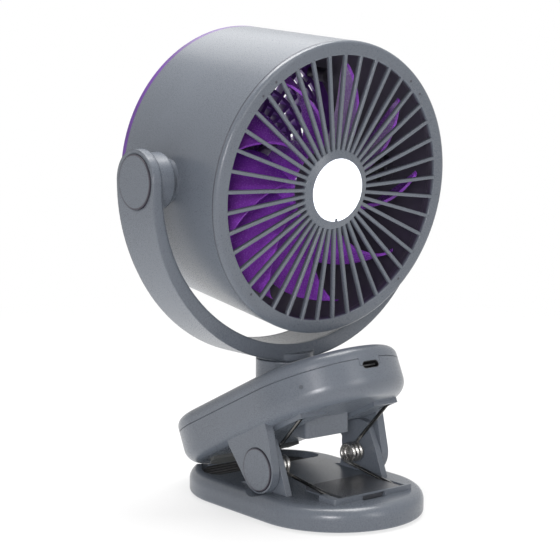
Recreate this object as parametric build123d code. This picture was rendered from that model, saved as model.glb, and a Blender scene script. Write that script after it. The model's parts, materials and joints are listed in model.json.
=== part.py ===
from build123d import *
import math
import os

# A rechargeable clip fan: a drum-shaped fan head in a U-shaped yoke, on a battery
# case that is the upper jaw and handle of a sprung clamp. Millimetres and degrees.
# The origin is on the table, under the tilt axis. X is right, Y is rearward, Z is up.

# ---- Fits and clearances ----
RUNNING_FIT = 0.05
SEAT_GAP = 0.15
BODY_GAP = 0.4
SHADOW_GAP = 0.3
# How far a cut runs past a face, and a joined shape runs into its neighbour.
PAST = 1.0

# ---- Fan head, built about its own axis: Z forward, X along the tilt axis ----
HEAD_NOD = 7.0
HEAD_RADIUS = 65.0
HEAD_TAPER = 2.1
HEAD_FRONT = 37.5
HEAD_REAR = 37.2
DRUM_WALL = 2.2
RING_DEPTH = 2.6
RING_WIDTH = 6.3
RING_ROUND = 2.0
RING_LIP_DEPTH = 4.0
RING_DIMPLE_RADIUS = 0.7
RING_DIMPLE_DEPTH = 0.35
RING_DIMPLE_ANGLES = (43.0, 51.0, 129.0, 137.0, 225.5, 314.5)
RING_SPIGOT_WALL = 1.9
RING_SPIGOT_DEPTH = 4.5
SPOKE_COUNT = 41
SPOKE_PHASE = 3.0
SPOKE_WIDTH = 1.65
SPOKE_DEPTH = 2.2
GRILLE_HUB_RADIUS = 17.6
LENS_RADIUS = 13.9
LENS_DEPTH = 2.4
LENS_DOME = 0.4
LENS_KEY_ANGLE = 273.0
LENS_KEY_WIDTH = 1.4
LENS_KEY_REACH = 1.2
GRILLE_HUB_DEPTH = 7.5
GRILLE_HUB_RISE = 1.2
GRILLE_HUB_FLOOR = 1.2
LED_BOARD_DEPTH = 1.0
LED_BOARD_SETBACK = 5.0
LED_COUNT = 6
LED_CIRCLE = 8.5
LED_SIZE = 2.8
LED_HEIGHT = 0.8
WIRE_HOLE = 1.8

# ---- Rear grille and motor ----
REAR_RING_DEPTH = 2.5
REAR_RING_WIDTH = 7.9
REAR_SPOKE_COUNT = 36
REAR_SPOKE_WIDTH = 2.0
REAR_GRILLE_DEPTH = 5.5
REAR_HOOP_PITCH = 6.8
REAR_HOOP_WIDTH = 1.6
REAR_HUB_RADIUS = 20.0
REAR_HUB_GAP = 2.8
REAR_SCREW_INSET = 4.4
REAR_SCREW_COUNT = 4
REAR_BOSS_RADIUS = 3.2
REAR_BOSS_LENGTH = 12.0
REAR_SCREW_BITE = 8.0
MOTOR_RADIUS = 12.2
MOTOR_LENGTH = 30.8
MOTOR_WALL = 1.0
MOTOR_CUP_WALL = 2.0
MOTOR_CUP_DEPTH = 27.0
MOTOR_SEAT = 10.0
MOTOR_FLOOR = 1.6
MOTOR_POCKET_RADIUS = 11.0
MOTOR_SHAFT_RADIUS = 1.0
MOTOR_SHAFT_REACH = 14.0
MOTOR_SCREW_SPACING = 16.0
ROTOR_RADIUS = 9.5
ROTOR_LENGTH = 18.0

# ---- Impeller ----
BLADE_COUNT = 9
BLADE_TIP_GAP = 4.2
BLADE_THICKNESS = 1.6
BLADE_FRONT_GAP = 4.4
BLADE_ROOT_SETBACK = 0.8
BLADE_PHASE = 1.0
# From root to tip: the share of the blade's span, then its sweep, chord and pitch there.
BLADE_STATIONS = (
    (0.0, 0.0, 24.0, 70.0),
    (0.35, 8.0, 30.0, 66.0),
    (0.7, 22.0, 29.0, 62.0),
    (1.0, 42.0, 5.0, 52.0),
)
IMPELLER_HUB_RADIUS = 16.5
IMPELLER_HUB_WALL = 1.8
IMPELLER_HUB_LENGTH = 24.0
IMPELLER_NOSE_GAP = 1.2
IMPELLER_BOSS_RADIUS = 3.4

# ---- Tilt pivots ----
PIVOT_BOSS_RADIUS = 9.5
PIVOT_BOSS_PROUD = 2.6
ARM_BOSS_RADIUS = 12.3
ARM_BOSS_GAP = 0.1
PIVOT_WASHER = 0.3
PIVOT_STUB_RADIUS = 7.0
PIVOT_STUB_LENGTH = 4.5
PIVOT_BOLT_RADIUS = 3.0
PIVOT_BOLT_HEAD_RADIUS = 5.5
PIVOT_BOLT_HEAD = 1.3
PIVOT_CAP_RADIUS = 11.8
PIVOT_CAP_PROUD = 0.5
PIVOT_CAP_SEAT = 1.0
PIVOT_WASHER_RADIUS = 8.0
PIVOT_NUT_FLATS = 10.0
PIVOT_NUT_LENGTH = 2.5

# ---- Yoke ----
YOKE_HEAD_GAP = 11.0
YOKE_THICKNESS = 4.4
YOKE_SAG = 2.9
YOKE_HALF_WIDTH = 12.4
YOKE_END_RADIUS = 13.9
YOKE_TAPER_DROP = 40.0
YOKE_COVER_THICKNESS = 1.6
YOKE_COVER_BORDER = 1.5
YOKE_COVER_END = 20.0
YOKE_CHANNEL_DEPTH = 1.4
YOKE_FOOT_RADIUS = 13.2
YOKE_FOOT_HEIGHT = 3.2
LEAD_RADIUS = 0.6
LEAD_LOW_ANGLE = 262.0
LEAD_HIGH_ANGLE = 200.0
LEAD_ROOM_DROP = 2.0

# ---- Swivel neck: a vertical axis in front of the tilt axis ----
SWIVEL_Y = -2.5
NECK_RADIUS = 13.5
NECK_TOP = 64.5
NECK_BOTTOM = 43.5
NECK_EDGE = 0.6
STEM_RADIUS = 6.5
STEM_BORE = 4.0
SWIVEL_WASHER = 1.2
SWIVEL_WASHER_RADIUS = 10.0
SWIVEL_NUT = 3.0
SWIVEL_NUT_FLATS = 16.0

# ---- Battery case, built in its seam plane: Y toward the jaw end, Z out of its top ----
CASE_TILT = 25.5
CASE_SEAM_HEIGHT = 44.4
CASE_HALF_WIDTH = 36.5
CASE_FRONT = -30.0
CASE_REAR = 22.5
CASE_BELOW = 16.2
CASE_ABOVE = 6.2
CASE_BOTTOM_ROUND = 7.5
CASE_TOP_ROUND = 4.5
CASE_WALL = 1.8
SEAM_GROOVE = 0.35
SEAM_GROOVE_DEPTH = 0.6
UNDER_TAB_INSIDE = 14.0
UNDER_TAB_OUTSIDE = 28.0
UNDER_TAB_FRONT = -45.0
UNDER_TAB_REAR = -20.0
UNDER_TAB_DEPTH = 1.8
STOP_HALF_WIDTH = 12.6
STOP_FRONT = -33.5
STOP_REAR = -20.0
STOP_BOTTOM = 33.4
STOP_EDGE = 2.0
CASE_SCREW_FRONT_X = 8.0
CASE_SCREW_FRONT = -22.0
CASE_SCREW_REAR_X = 21.0
CASE_SCREW_REAR = 36.0
CASE_BOSS_RADIUS = 3.0

# ---- Electrics in the case ----
PORT_WIDTH = 9.2
PORT_HEIGHT = 3.3
PORT_DROP = 3.3
PORT_TONGUE_WIDTH = 11.5
SOCKET_WALL = 0.3
SOCKET_DEPTH = 7.3
SOCKET_FLOOR = 1.0
SOCKET_TONGUE_SETBACK = 1.0
SOCKET_TONGUE_WIDTH = 6.6
SOCKET_TONGUE_HEIGHT = 0.7
BOARD_HALF_WIDTH = 18.0
BOARD_THICKNESS = 1.6
BOARD_REAR = -20.0
BOARD_EDGE_GAP = 1.0
BUTTON_Y = -50.0
BUTTON_RADIUS = 6.0
BUTTON_PROUD = 0.7
BUTTON_TRAVEL = 0.8
BUTTON_FLANGE = 1.2
BUTTON_FLANGE_THICKNESS = 1.0
BUTTON_POST_RADIUS = 1.5
SWITCH_SIZE = 6.0
SWITCH_HEIGHT = 2.3
SWITCH_PLUNGER_RADIUS = 1.7
SWITCH_PLUNGER_HEIGHT = 0.9
INDICATOR_ANGLE = 217.0
INDICATOR_DROP = 5.9
INDICATOR_RADIUS = 0.9
INDICATOR_LENGTH = 5.0
BATTERY_RADIUS = 9.1
BATTERY_LENGTH = 50.0
BATTERY_Y = 18.0
BATTERY_CAP_RADIUS = 3.0
BATTERY_CAP = 1.0
SCREW_RADIUS = 1.2
SCREW_HEAD_RADIUS = 2.3
SCREW_HEAD = 1.3
SCREW_TIP_ROOM = 0.5
CASE_SCREW_BITE = 3.5

# ---- Base: the lower jaw ----
BASE_HALF_WIDTH = 39.5
BASE_FRONT = -38.5
BASE_REAR = 5.0
FOOT_HEIGHT = 0.8
BASE_TOP = 11.5
BASE_TOP_ROUND = 5.0
BASE_BOTTOM_ROUND = 1.6
BASE_WALL = 2.5
BASE_SKIN_TOP = 8.6
BASE_CAVITY_REAR = 6.0
BOTTOM_COVER = 2.0
SOLE_INSET = 5.5
SOLE_HOLE_RADIUS = 3.4
BASE_SCREW_X = 24.0
BASE_SCREW_FRONT = -30.0
BASE_SCREW_REAR = -1.0
BASE_BOSS_RADIUS = 3.2
BASE_SCREW_BITE = 4.5

# ---- Raised spring panel on the base ----
PANEL_HALF_WIDTH = 22.5
PANEL_FRONT = -64.5
PANEL_TOP = 14.0
PANEL_REAR = -38.0
PANEL_RAIL_LENGTH = 10.5
PANEL_WALL = 1.2
PANEL_EDGE = 0.8
COVER_HALF_WIDTH = 16.7
COVER_THICKNESS = 1.8
LATCH_HALF_WIDTH = 6.5
LATCH_HEIGHT = 2.6
LATCH_TONGUE = 3.4
LATCH_STEP = 1.1

# ---- Jaw pads ----
MOUTH_GAP = 0.6
LOWER_PAD_FRONT = 8.0
LOWER_PAD_REAR = 34.5
LOWER_PAD_HALF_WIDTH = 32.0
LOWER_PAD_CORNER = 3.0
LOWER_PAD_TOP = 8.3
LOWER_PAD_FLOOR = 5.2
LOWER_PAD_INSET = 5.5
PAD_RIB_COUNT = 6
PAD_RIB_DEPTH = 0.6
PAD_RIB_WIDTH = 1.0
UPPER_PAD_FRONT = 28.0
UPPER_PAD_REAR = 46.0
UPPER_PAD_INSET = 10.5
UPPER_PAD_THICKNESS = 1.5

# ---- Clamp hinge, along X ----
HINGE_Y = -25.5
HINGE_Z = 21.3
UPPER_LUG_INSIDE = 30.0
UPPER_LUG_OUTSIDE = 34.0
UPPER_LUG_RADIUS = 10.7
UPPER_LUG_FRONT = (-32.0, 40.0)
UPPER_LUG_REAR = (-4.6, 28.5)
LOWER_LUG_INSIDE = 26.4
LOWER_LUG_OUTSIDE = 29.5
LOWER_LUG_RADIUS = 14.4
LOWER_LUG_FOOT_FRONT = -41.0
LOWER_LUG_WAIST_FRONT = -35.6
LOWER_LUG_WAIST_RISE = 2.5
LOWER_LUG_SHOULDER_FRONT = -29.4
LOWER_LUG_REAR = -12.4
LOWER_LUG_FOOT_REAR = -7.5
LOWER_LUG_FLARE = 4.0
HINGE_CAP_RADIUS = 9.6
HINGE_CAP_PROUD = 0.5
HINGE_CAP_SEAT = 1.4
HINGE_PIN_RADIUS = 2.3
HINGE_PIN_HEAD_RADIUS = 4.5
HINGE_PIN_HEAD = 1.1
HINGE_PIN_INNER = 21.0

# ---- Torsion springs ----
WIRE_DIAMETER = 1.7
COIL_RADIUS = 3.75
COIL_PITCH = 2.24
COIL_TURNS = 3
COIL_INNER_X = 17.7
LOWER_LEG_END = (-57.5, 12.9)
UPPER_LEG_END_Y = -41.0
UPPER_LEG_END_DROP = 1.4
LEG_SLOT = 2.6

# ---- Sizes that follow from those above ----
HEAD_REAR_RADIUS = HEAD_RADIUS - HEAD_TAPER
RING_INNER_RADIUS = HEAD_RADIUS - RING_WIDTH
REAR_RING_INNER_RADIUS = HEAD_REAR_RADIUS - REAR_RING_WIDTH
REAR_SCREW_CIRCLE = HEAD_REAR_RADIUS - REAR_SCREW_INSET
BLADE_TIP_RADIUS = RING_INNER_RADIUS - BLADE_TIP_GAP
PIVOT_BOSS_END = HEAD_RADIUS + PIVOT_BOSS_PROUD
ARM_BOSS_INNER = PIVOT_BOSS_END + PIVOT_WASHER + ARM_BOSS_GAP
YOKE_INNER_RADIUS = HEAD_RADIUS + YOKE_HEAD_GAP
YOKE_OUTER_RADIUS = YOKE_INNER_RADIUS + YOKE_THICKNESS
PIVOT_HEIGHT = NECK_TOP + BODY_GAP + YOKE_SAG + YOKE_OUTER_RADIUS

HEAD_PLANE = Plane(
    origin=(0, 0, PIVOT_HEIGHT),
    x_dir=(1, 0, 0),
    z_dir=(0, -math.cos(math.radians(HEAD_NOD)), -math.sin(math.radians(HEAD_NOD))),
)
CASE_PLANE = Plane(
    origin=(0, 0, CASE_SEAM_HEIGHT),
    x_dir=(1, 0, 0),
    z_dir=(0, math.sin(math.radians(CASE_TILT)), math.cos(math.radians(CASE_TILT))),
)
FAR = 200.0
SIDES = (-1, 1)


# ---- General shapes ----
def block(x0, x1, y0, y1, z0, z1):
    """A box between two corners."""
    middle = Pos((x0 + x1) / 2, (y0 + y1) / 2, (z0 + z1) / 2)
    return middle * Box(x1 - x0, y1 - y0, z1 - z0)


def rod(radius, z0, z1, x=0.0, y=0.0):
    """A cylinder along Z."""
    return Pos(x, y, (z0 + z1) / 2) * Cylinder(radius, z1 - z0)


def tube(outer, inner, z0, z1, x=0.0, y=0.0):
    """A hollow cylinder along Z."""
    return rod(outer, z0, z1, x, y) - rod(inner, z0, z1, x, y)


def cross_rod(radius, x0, x1, y=0.0, z=0.0):
    """A cylinder along X."""
    return Pos((x0 + x1) / 2, y, z) * Rot(0, 90, 0) * Cylinder(radius, abs(x1 - x0))


def hexagon(flats, z0, z1, x=0.0, y=0.0):
    """A hexagonal prism along Z, measured across its flats."""
    outline = Pos(x, y, z0) * RegularPolygon(flats / 2, 6, major_radius=False)
    return extrude(outline, z1 - z0)


def around(shape, count):
    """A shape and its copies, evenly spaced about Z."""
    return [Rot(0, 0, i * 360 / count) * shape for i in range(count)]


def turned(points):
    """A ring turned about Z from (radius, height) points."""
    return revolve(Plane.XZ * Polygon(*points, align=None), Axis.Z)


def slab(half_width, front, rear, z0, z1):
    """A plate whose two ends are half circles about front and rear."""
    outline = SlotCenterToCenter(rear - front, 2 * half_width, rotation=90)
    return extrude(Pos(0, (front + rear) / 2, z0) * outline, z1 - z0)


def pill(half_width, front, rear, z0, z1, low_round, high_round):
    """A plate with half-round ends whose lower and upper edges are rounded."""
    solid = slab(half_width, front, rear, z0, z1)
    solid = fillet(solid.edges().group_by(Axis.Z)[-1], high_round)
    return fillet(solid.edges().group_by(Axis.Z)[0], low_round)


def on_head(shape):
    """A shape drawn about the fan axis, in its place."""
    return HEAD_PLANE.location * shape


def on_case(shape):
    """A shape drawn in the case's seam plane, in its place."""
    return CASE_PLANE.location * shape


def case_point(y, z):
    """A (Y, Z) place in the case's seam plane, as (Y, Z) above the table."""
    tilt = math.radians(CASE_TILT)
    return (
        y * math.cos(tilt) + z * math.sin(tilt),
        CASE_SEAM_HEIGHT - y * math.sin(tilt) + z * math.cos(tilt),
    )


def screw(head_radius, head, length, head_z, x, y, up=1):
    """A pan-head screw along Z whose head starts at head_z and whose shaft goes up."""
    neck_z = head_z + up * head
    tip_z = neck_z + up * length
    return rod(head_radius, min(head_z, neck_z), max(head_z, neck_z), x, y) + rod(
        SCREW_RADIUS, min(neck_z, tip_z), max(neck_z, tip_z), x, y
    )


def side_profile(points, x0, x1):
    """A plate between two X places with an outline given as (Y, Z) points."""
    outline = Plane.YZ.offset(x0) * Polygon(*points, align=None)
    return extrude(outline, x1 - x0, dir=(1, 0, 0))


# ---- Base ----
def base_cavity():
    """The hollow under the front of the base, with its screw bosses left standing."""
    low = FOOT_HEIGHT + BOTTOM_COVER
    hollow = slab(BASE_HALF_WIDTH - 2 * BASE_WALL, BASE_FRONT, BASE_REAR, low, BASE_SKIN_TOP)
    hollow &= block(-FAR, FAR, -FAR, BASE_CAVITY_REAR, 0, FAR)
    for x, y in base_screw_places():
        hollow -= rod(BASE_BOSS_RADIUS, low, BASE_SKIN_TOP, x, y)
    return hollow


def base_screw_places():
    """Where the screws of the bottom cover stand."""
    rows = (BASE_SCREW_FRONT, BASE_SCREW_REAR)
    return [(side * BASE_SCREW_X, y) for side in SIDES for y in rows]


def mouth_relief():
    """The space that the case needs where its rear end nests in the base."""
    low = -CASE_BELOW - MOUTH_GAP
    rounding = CASE_BOTTOM_ROUND + MOUTH_GAP
    width = CASE_HALF_WIDTH + MOUTH_GAP
    case = pill(width, CASE_FRONT, CASE_REAR, low, CASE_ABOVE, rounding, CASE_TOP_ROUND)
    return on_case(case)


def lower_pad_outline(inset, low, high):
    """The lower jaw pad's outline, drawn in by an inset, between two heights."""
    half_width = LOWER_PAD_HALF_WIDTH - inset
    front = LOWER_PAD_FRONT + inset
    corner = LOWER_PAD_CORNER
    area = extrude(
        Pos(0, 0, low)
        * Polygon(
            (-half_width + corner, front),
            (half_width - corner, front),
            (half_width, front + corner),
            (half_width, LOWER_PAD_REAR - inset),
            (-half_width, LOWER_PAD_REAR - inset),
            (-half_width, front + corner),
            align=None,
        ),
        high - low,
    )
    edge = BASE_HALF_WIDTH - LOWER_PAD_INSET - inset
    return area & slab(edge, BASE_FRONT, BASE_REAR, low, high)


def lower_lug_profile(side):
    """One lug of the base, inside the case's lug, round-topped about the hinge."""
    root = BASE_TOP - PAST
    points = [
        (LOWER_LUG_FOOT_FRONT, root),
        (LOWER_LUG_WAIST_FRONT, HINGE_Z + LOWER_LUG_WAIST_RISE),
        (LOWER_LUG_SHOULDER_FRONT, HINGE_Z + LOWER_LUG_RADIUS),
        (LOWER_LUG_REAR, HINGE_Z + LOWER_LUG_RADIUS),
        (LOWER_LUG_REAR, BASE_TOP + LOWER_LUG_FLARE),
        (LOWER_LUG_REAR + LOWER_LUG_FLARE / 4, BASE_TOP + LOWER_LUG_FLARE / 4),
        (LOWER_LUG_FOOT_REAR, BASE_TOP),
        (LOWER_LUG_FOOT_REAR, root),
    ]
    inner, outer = sorted((side * LOWER_LUG_INSIDE, side * LOWER_LUG_OUTSIDE))
    lug = side_profile(points, inner, outer)
    top = block(inner, outer, -FAR, FAR, HINGE_Z, FAR)
    top -= cross_rod(LOWER_LUG_RADIUS, inner, outer, HINGE_Y, HINGE_Z)
    bore = cross_rod(HINGE_PIN_RADIUS + RUNNING_FIT, inner, outer, HINGE_Y, HINGE_Z)
    return lug - top - bore


def spring_panel():
    """The raised frame on the base: a seat for the spring cover, rails and a latch wall."""
    seat_top = PANEL_TOP - COVER_THICKNESS
    root = BASE_TOP_ROUND
    seat = block(-COVER_HALF_WIDTH, COVER_HALF_WIDTH, PANEL_FRONT, PANEL_REAR, root, seat_top)
    rails_rear = PANEL_FRONT + PANEL_RAIL_LENGTH
    frame = block(-PANEL_HALF_WIDTH, PANEL_HALF_WIDTH, PANEL_FRONT, rails_rear, root, PANEL_TOP)
    corners = frame.edges().filter_by(Axis.Z).sort_by(Axis.Y)[:2]
    frame = fillet(corners, PANEL_EDGE)
    room_front = PANEL_FRONT + PANEL_WALL
    frame -= block(-COVER_HALF_WIDTH, COVER_HALF_WIDTH, room_front, FAR, seat_top, FAR)
    for side in SIDES:
        slot = sorted((side * COVER_HALF_WIDTH, side * (COIL_INNER_X + LEG_SLOT / 2)))
        frame -= block(slot[0], slot[1], room_front, FAR, BASE_TOP, FAR)
    return seat + frame


def latch_window():
    """The window in the panel's front wall that the cover's snap tongue shows in."""
    low = PANEL_TOP - COVER_THICKNESS - LATCH_HEIGHT + LATCH_STEP
    high = low + LATCH_HEIGHT
    back = PANEL_FRONT + LATCH_TONGUE
    return block(-LATCH_HALF_WIDTH, LATCH_HALF_WIDTH, PANEL_FRONT - PAST, back, low, high)


def lower_jaw():
    """The base: a flat round-ended shell with lugs, spring panel and a mouth at the rear."""
    body = pill(
        BASE_HALF_WIDTH,
        BASE_FRONT,
        BASE_REAR,
        FOOT_HEIGHT,
        BASE_TOP,
        BASE_BOTTOM_ROUND,
        BASE_TOP_ROUND,
    )
    body += spring_panel()
    for side in SIDES:
        body += lower_lug_profile(side)
        gap = sorted((side * (LOWER_LUG_OUTSIDE + SEAT_GAP), side * FAR))
        body -= cross_rod(UPPER_LUG_RADIUS + MOUTH_GAP, gap[0], gap[1], HINGE_Y, HINGE_Z)
    body -= latch_window()
    body -= mouth_relief()
    body -= lower_pad_outline(0, LOWER_PAD_FLOOR, FAR)
    body -= base_cavity()
    cover_edge = BASE_HALF_WIDTH - BASE_WALL
    body -= slab(cover_edge, BASE_FRONT, BASE_REAR, 0, FOOT_HEIGHT + BOTTOM_COVER)
    for x, y in base_screw_places():
        hole_top = FOOT_HEIGHT + BOTTOM_COVER + BASE_SCREW_BITE + SCREW_TIP_ROOM
        body -= rod(SCREW_RADIUS, 0, hole_top, x, y)
    return body


def bottom_cover():
    """The plate that closes the underside of the base."""
    edge = BASE_HALF_WIDTH - BASE_WALL - SEAT_GAP
    top = FOOT_HEIGHT + BOTTOM_COVER
    plate = slab(edge, BASE_FRONT, BASE_REAR, FOOT_HEIGHT, top)
    for x, y in base_screw_places():
        plate -= rod(SCREW_HEAD_RADIUS + SEAT_GAP, 0, FOOT_HEIGHT + SCREW_HEAD, x, y)
        plate -= rod(SCREW_RADIUS + SEAT_GAP, 0, FAR, x, y)
    return plate


def base_screws():
    """Four screws that hold the bottom cover."""
    length = BOTTOM_COVER - SCREW_HEAD + BASE_SCREW_BITE
    return Compound(
        children=[
            screw(SCREW_HEAD_RADIUS, SCREW_HEAD, length, FOOT_HEIGHT, x, y)
            for x, y in base_screw_places()
        ]
    )


def rubber_sole():
    """The rubber sheet stuck to the bottom cover, open at the screws."""
    sole = slab(BASE_HALF_WIDTH - SOLE_INSET, BASE_FRONT, BASE_REAR, 0, FOOT_HEIGHT)
    for x, y in base_screw_places():
        sole -= rod(SOLE_HOLE_RADIUS, -PAST, FOOT_HEIGHT + PAST, x, y)
    return sole


def spring_cover():
    """The plate snapped over the spring panel, with the tongue that the window shows."""
    front = PANEL_FRONT + PANEL_WALL + SEAT_GAP
    half_width = COVER_HALF_WIDTH - SEAT_GAP
    low = PANEL_TOP - COVER_THICKNESS
    plate = block(-half_width, half_width, front, PANEL_REAR, low, PANEL_TOP)
    hook_half = LATCH_HALF_WIDTH - BODY_GAP
    hook_low = low - LATCH_HEIGHT + LATCH_STEP + SEAT_GAP
    hook = block(-hook_half, hook_half, front, front + LATCH_STEP, hook_low, low)
    return plate + hook


def lower_jaw_pad():
    """The ribbed rubber pad in the mouth of the base."""
    pad = lower_pad_outline(SEAT_GAP, LOWER_PAD_FLOOR, LOWER_PAD_TOP)
    pitch = (LOWER_PAD_REAR - LOWER_PAD_FRONT) / (PAD_RIB_COUNT + 1)
    for rib in range(1, PAD_RIB_COUNT + 1):
        y = LOWER_PAD_FRONT + rib * pitch
        low = LOWER_PAD_TOP - PAD_RIB_DEPTH
        pad -= block(-FAR, FAR, y, y + PAD_RIB_WIDTH, low, FAR)
    return pad


# ---- Springs ----
def leg_direction(end, wrap):
    """The angle about the hinge where a straight leg to end leaves the coil, by wrap side."""
    dy = end[0] - HINGE_Y
    dz = end[1] - HINGE_Z
    reach = math.hypot(dy, dz)
    return math.atan2(dz, dy) + wrap * math.acos(COIL_RADIUS / reach)


def coil_point(angle, x):
    """A point of the coil's centre line."""
    return Vector(
        x, HINGE_Y + COIL_RADIUS * math.cos(angle), HINGE_Z + COIL_RADIUS * math.sin(angle)
    )


def biarc(start, start_direction, end, end_direction):
    """Two arcs that leave start and reach end along the two given directions."""
    along = end - start
    both = start_direction + end_direction
    a = 2 * (1 - start_direction.dot(end_direction))
    b = 2 * along.dot(both)
    reach = (-b + math.sqrt(b * b + 4 * a * along.dot(along))) / (2 * a)
    joint = (start + end + (start_direction - end_direction) * reach) * 0.5
    first = TangentArc(start, joint, tangent=start_direction)
    second = TangentArc(joint, end, tangent=first % 1)
    return [first, second]


def spring_wire():
    """The centre line of the right-hand spring: leg, coil in quarter turns, leg."""
    case_y, case_z = case_point(UPPER_LEG_END_Y, -CASE_BELOW - UPPER_LEG_END_DROP)
    first_angle = leg_direction(LOWER_LEG_END, 1)
    last_angle = leg_direction((case_y, case_z), -1)
    first_angle -= 2 * math.pi * math.ceil((first_angle - last_angle) / (2 * math.pi))
    sweep_angle = last_angle - first_angle + 2 * math.pi * COIL_TURNS
    quarters = round(sweep_angle / (math.pi / 2))
    step = sweep_angle / quarters
    rise = COIL_PITCH / (2 * math.pi)
    points = []
    directions = []
    for quarter in range(quarters + 1):
        angle = first_angle + quarter * step
        slope = 0 if quarter in (0, quarters) else rise
        points.append(coil_point(angle, COIL_INNER_X + rise * quarter * step))
        directions.append(
            Vector(slope, -COIL_RADIUS * math.sin(angle), COIL_RADIUS * math.cos(angle)).normalized()
        )
    edges = [Line((COIL_INNER_X, *LOWER_LEG_END), points[0])]
    for quarter in range(quarters):
        edges += biarc(
            points[quarter], directions[quarter], points[quarter + 1], directions[quarter + 1]
        )
    edges.append(Line(points[-1], (points[-1].X, case_y, case_z)))
    return Wire(edges)


def least_gap(path):
    """The least gap between stretches of the wire that are over half a turn apart."""
    count = 400
    half_turn = math.pi * COIL_RADIUS
    points = [path.position_at(i / count) for i in range(count + 1)]
    step = path.length / count
    skip = int(half_turn / step)
    gaps = [
        (points[i] - points[j]).length
        for i in range(count + 1)
        for j in range(i + skip, count + 1)
    ]
    return min(gaps) - WIRE_DIAMETER


def torsion_spring():
    """The right-hand spring as one unbroken tube."""
    path = spring_wire()
    print("spring least gap to itself", round(least_gap(path), 3), "mm")
    section = Plane(origin=path @ 0, z_dir=path % 0) * Circle(WIRE_DIAMETER / 2)
    spring = sweep(section, path=path)
    expected = math.pi * (WIRE_DIAMETER / 2) ** 2 * path.length
    print("spring volume", round(spring.volume, 1), "of", round(expected, 1), "mm3")
    return spring


# ---- Battery case ----
def case_outside():
    """The whole outer form of the case, in its own plane."""
    return pill(
        CASE_HALF_WIDTH,
        CASE_FRONT,
        CASE_REAR,
        -CASE_BELOW,
        CASE_ABOVE,
        CASE_BOTTOM_ROUND,
        CASE_TOP_ROUND,
    )


def case_inside():
    """The hollow of the case, in its own plane."""
    return pill(
        CASE_HALF_WIDTH - CASE_WALL,
        CASE_FRONT,
        CASE_REAR,
        -CASE_BELOW + CASE_WALL,
        CASE_ABOVE - CASE_WALL,
        CASE_BOTTOM_ROUND - CASE_WALL,
        CASE_TOP_ROUND - CASE_WALL,
    )


def case_screw_places():
    """Where the four case screws stand, in the case's plane."""
    rows = ((CASE_SCREW_FRONT_X, CASE_SCREW_FRONT), (CASE_SCREW_REAR_X, CASE_SCREW_REAR))
    return [(side * x, y) for side in SIDES for x, y in rows]


def upper_lug(side):
    """One lug of the case: a plate from the hinge circle up into the case's floor."""
    near, far = sorted((side * UPPER_LUG_INSIDE, side * UPPER_LUG_OUTSIDE))
    eye = cross_rod(UPPER_LUG_RADIUS, near, far, HINGE_Y, HINGE_Z)
    tilt = math.radians(CASE_TILT)
    rise = CASE_BELOW / 2
    up = (rise * math.sin(tilt), rise * math.cos(tilt))
    corners = []
    for corner, wrap in ((UPPER_LUG_REAR, -1), (UPPER_LUG_FRONT, 1)):
        dy = corner[0] - HINGE_Y
        dz = corner[1] - HINGE_Z
        touch = math.atan2(dz, dy) + wrap * math.acos(UPPER_LUG_RADIUS / math.hypot(dy, dz))
        foot = (
            HINGE_Y + UPPER_LUG_RADIUS * math.cos(touch),
            HINGE_Z + UPPER_LUG_RADIUS * math.sin(touch),
        )
        corners.append((foot, corner, (corner[0] + up[0], corner[1] + up[1])))
    rear, front = corners
    points = [rear[0], rear[1], rear[2], front[2], front[1], front[0], (HINGE_Y, HINGE_Z)]
    return eye + side_profile(points, near, far)


def lug_bores(side):
    """The pin bore and the seats of pin head and cap in one lug of the case."""
    cap_floor = UPPER_LUG_OUTSIDE - HINGE_CAP_SEAT
    head_floor = cap_floor - HINGE_PIN_HEAD - SEAT_GAP
    cuts = []
    for radius, depth in (
        (HINGE_PIN_RADIUS, UPPER_LUG_INSIDE - PAST),
        (HINGE_PIN_HEAD_RADIUS + SEAT_GAP, head_floor),
        (HINGE_CAP_RADIUS + SHADOW_GAP, cap_floor),
    ):
        near, far = sorted((side * depth, side * (UPPER_LUG_OUTSIDE + PAST)))
        cuts.append(cross_rod(radius, near, far, HINGE_Y, HINGE_Z))
    return cuts


def port_opening(clearance):
    """The charging port's opening, drawn larger by a clearance, through the front wall."""
    width = PORT_WIDTH + 2 * clearance
    height = PORT_HEIGHT + 2 * clearance
    outline = SlotOverall(width, height)
    wall = CASE_FRONT - CASE_HALF_WIDTH
    front = Plane(origin=(0, wall - PAST, -PORT_DROP), x_dir=(1, 0, 0), z_dir=(0, 1, 0))
    return extrude(front * outline, SOCKET_DEPTH + PAST)


def port_tongue(clearance):
    """The piece of the top shell that comes down to the port, in the front wall."""
    half_width = PORT_TONGUE_WIDTH / 2 + clearance
    low = -PORT_DROP - clearance
    wall = CASE_FRONT - CASE_HALF_WIDTH
    return block(-half_width, half_width, wall - PAST, wall + 2 * CASE_WALL, low, 0)


def indicator(radius, length):
    """A radial rod through the case's side wall, in the case's plane."""
    angle = math.radians(INDICATOR_ANGLE)
    away = Vector(math.cos(angle), math.sin(angle), 0)
    tip = Vector(0, CASE_FRONT, -INDICATOR_DROP) + away * CASE_HALF_WIDTH
    return extrude(Plane(origin=tip, z_dir=away * -1) * Circle(radius), length)


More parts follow.
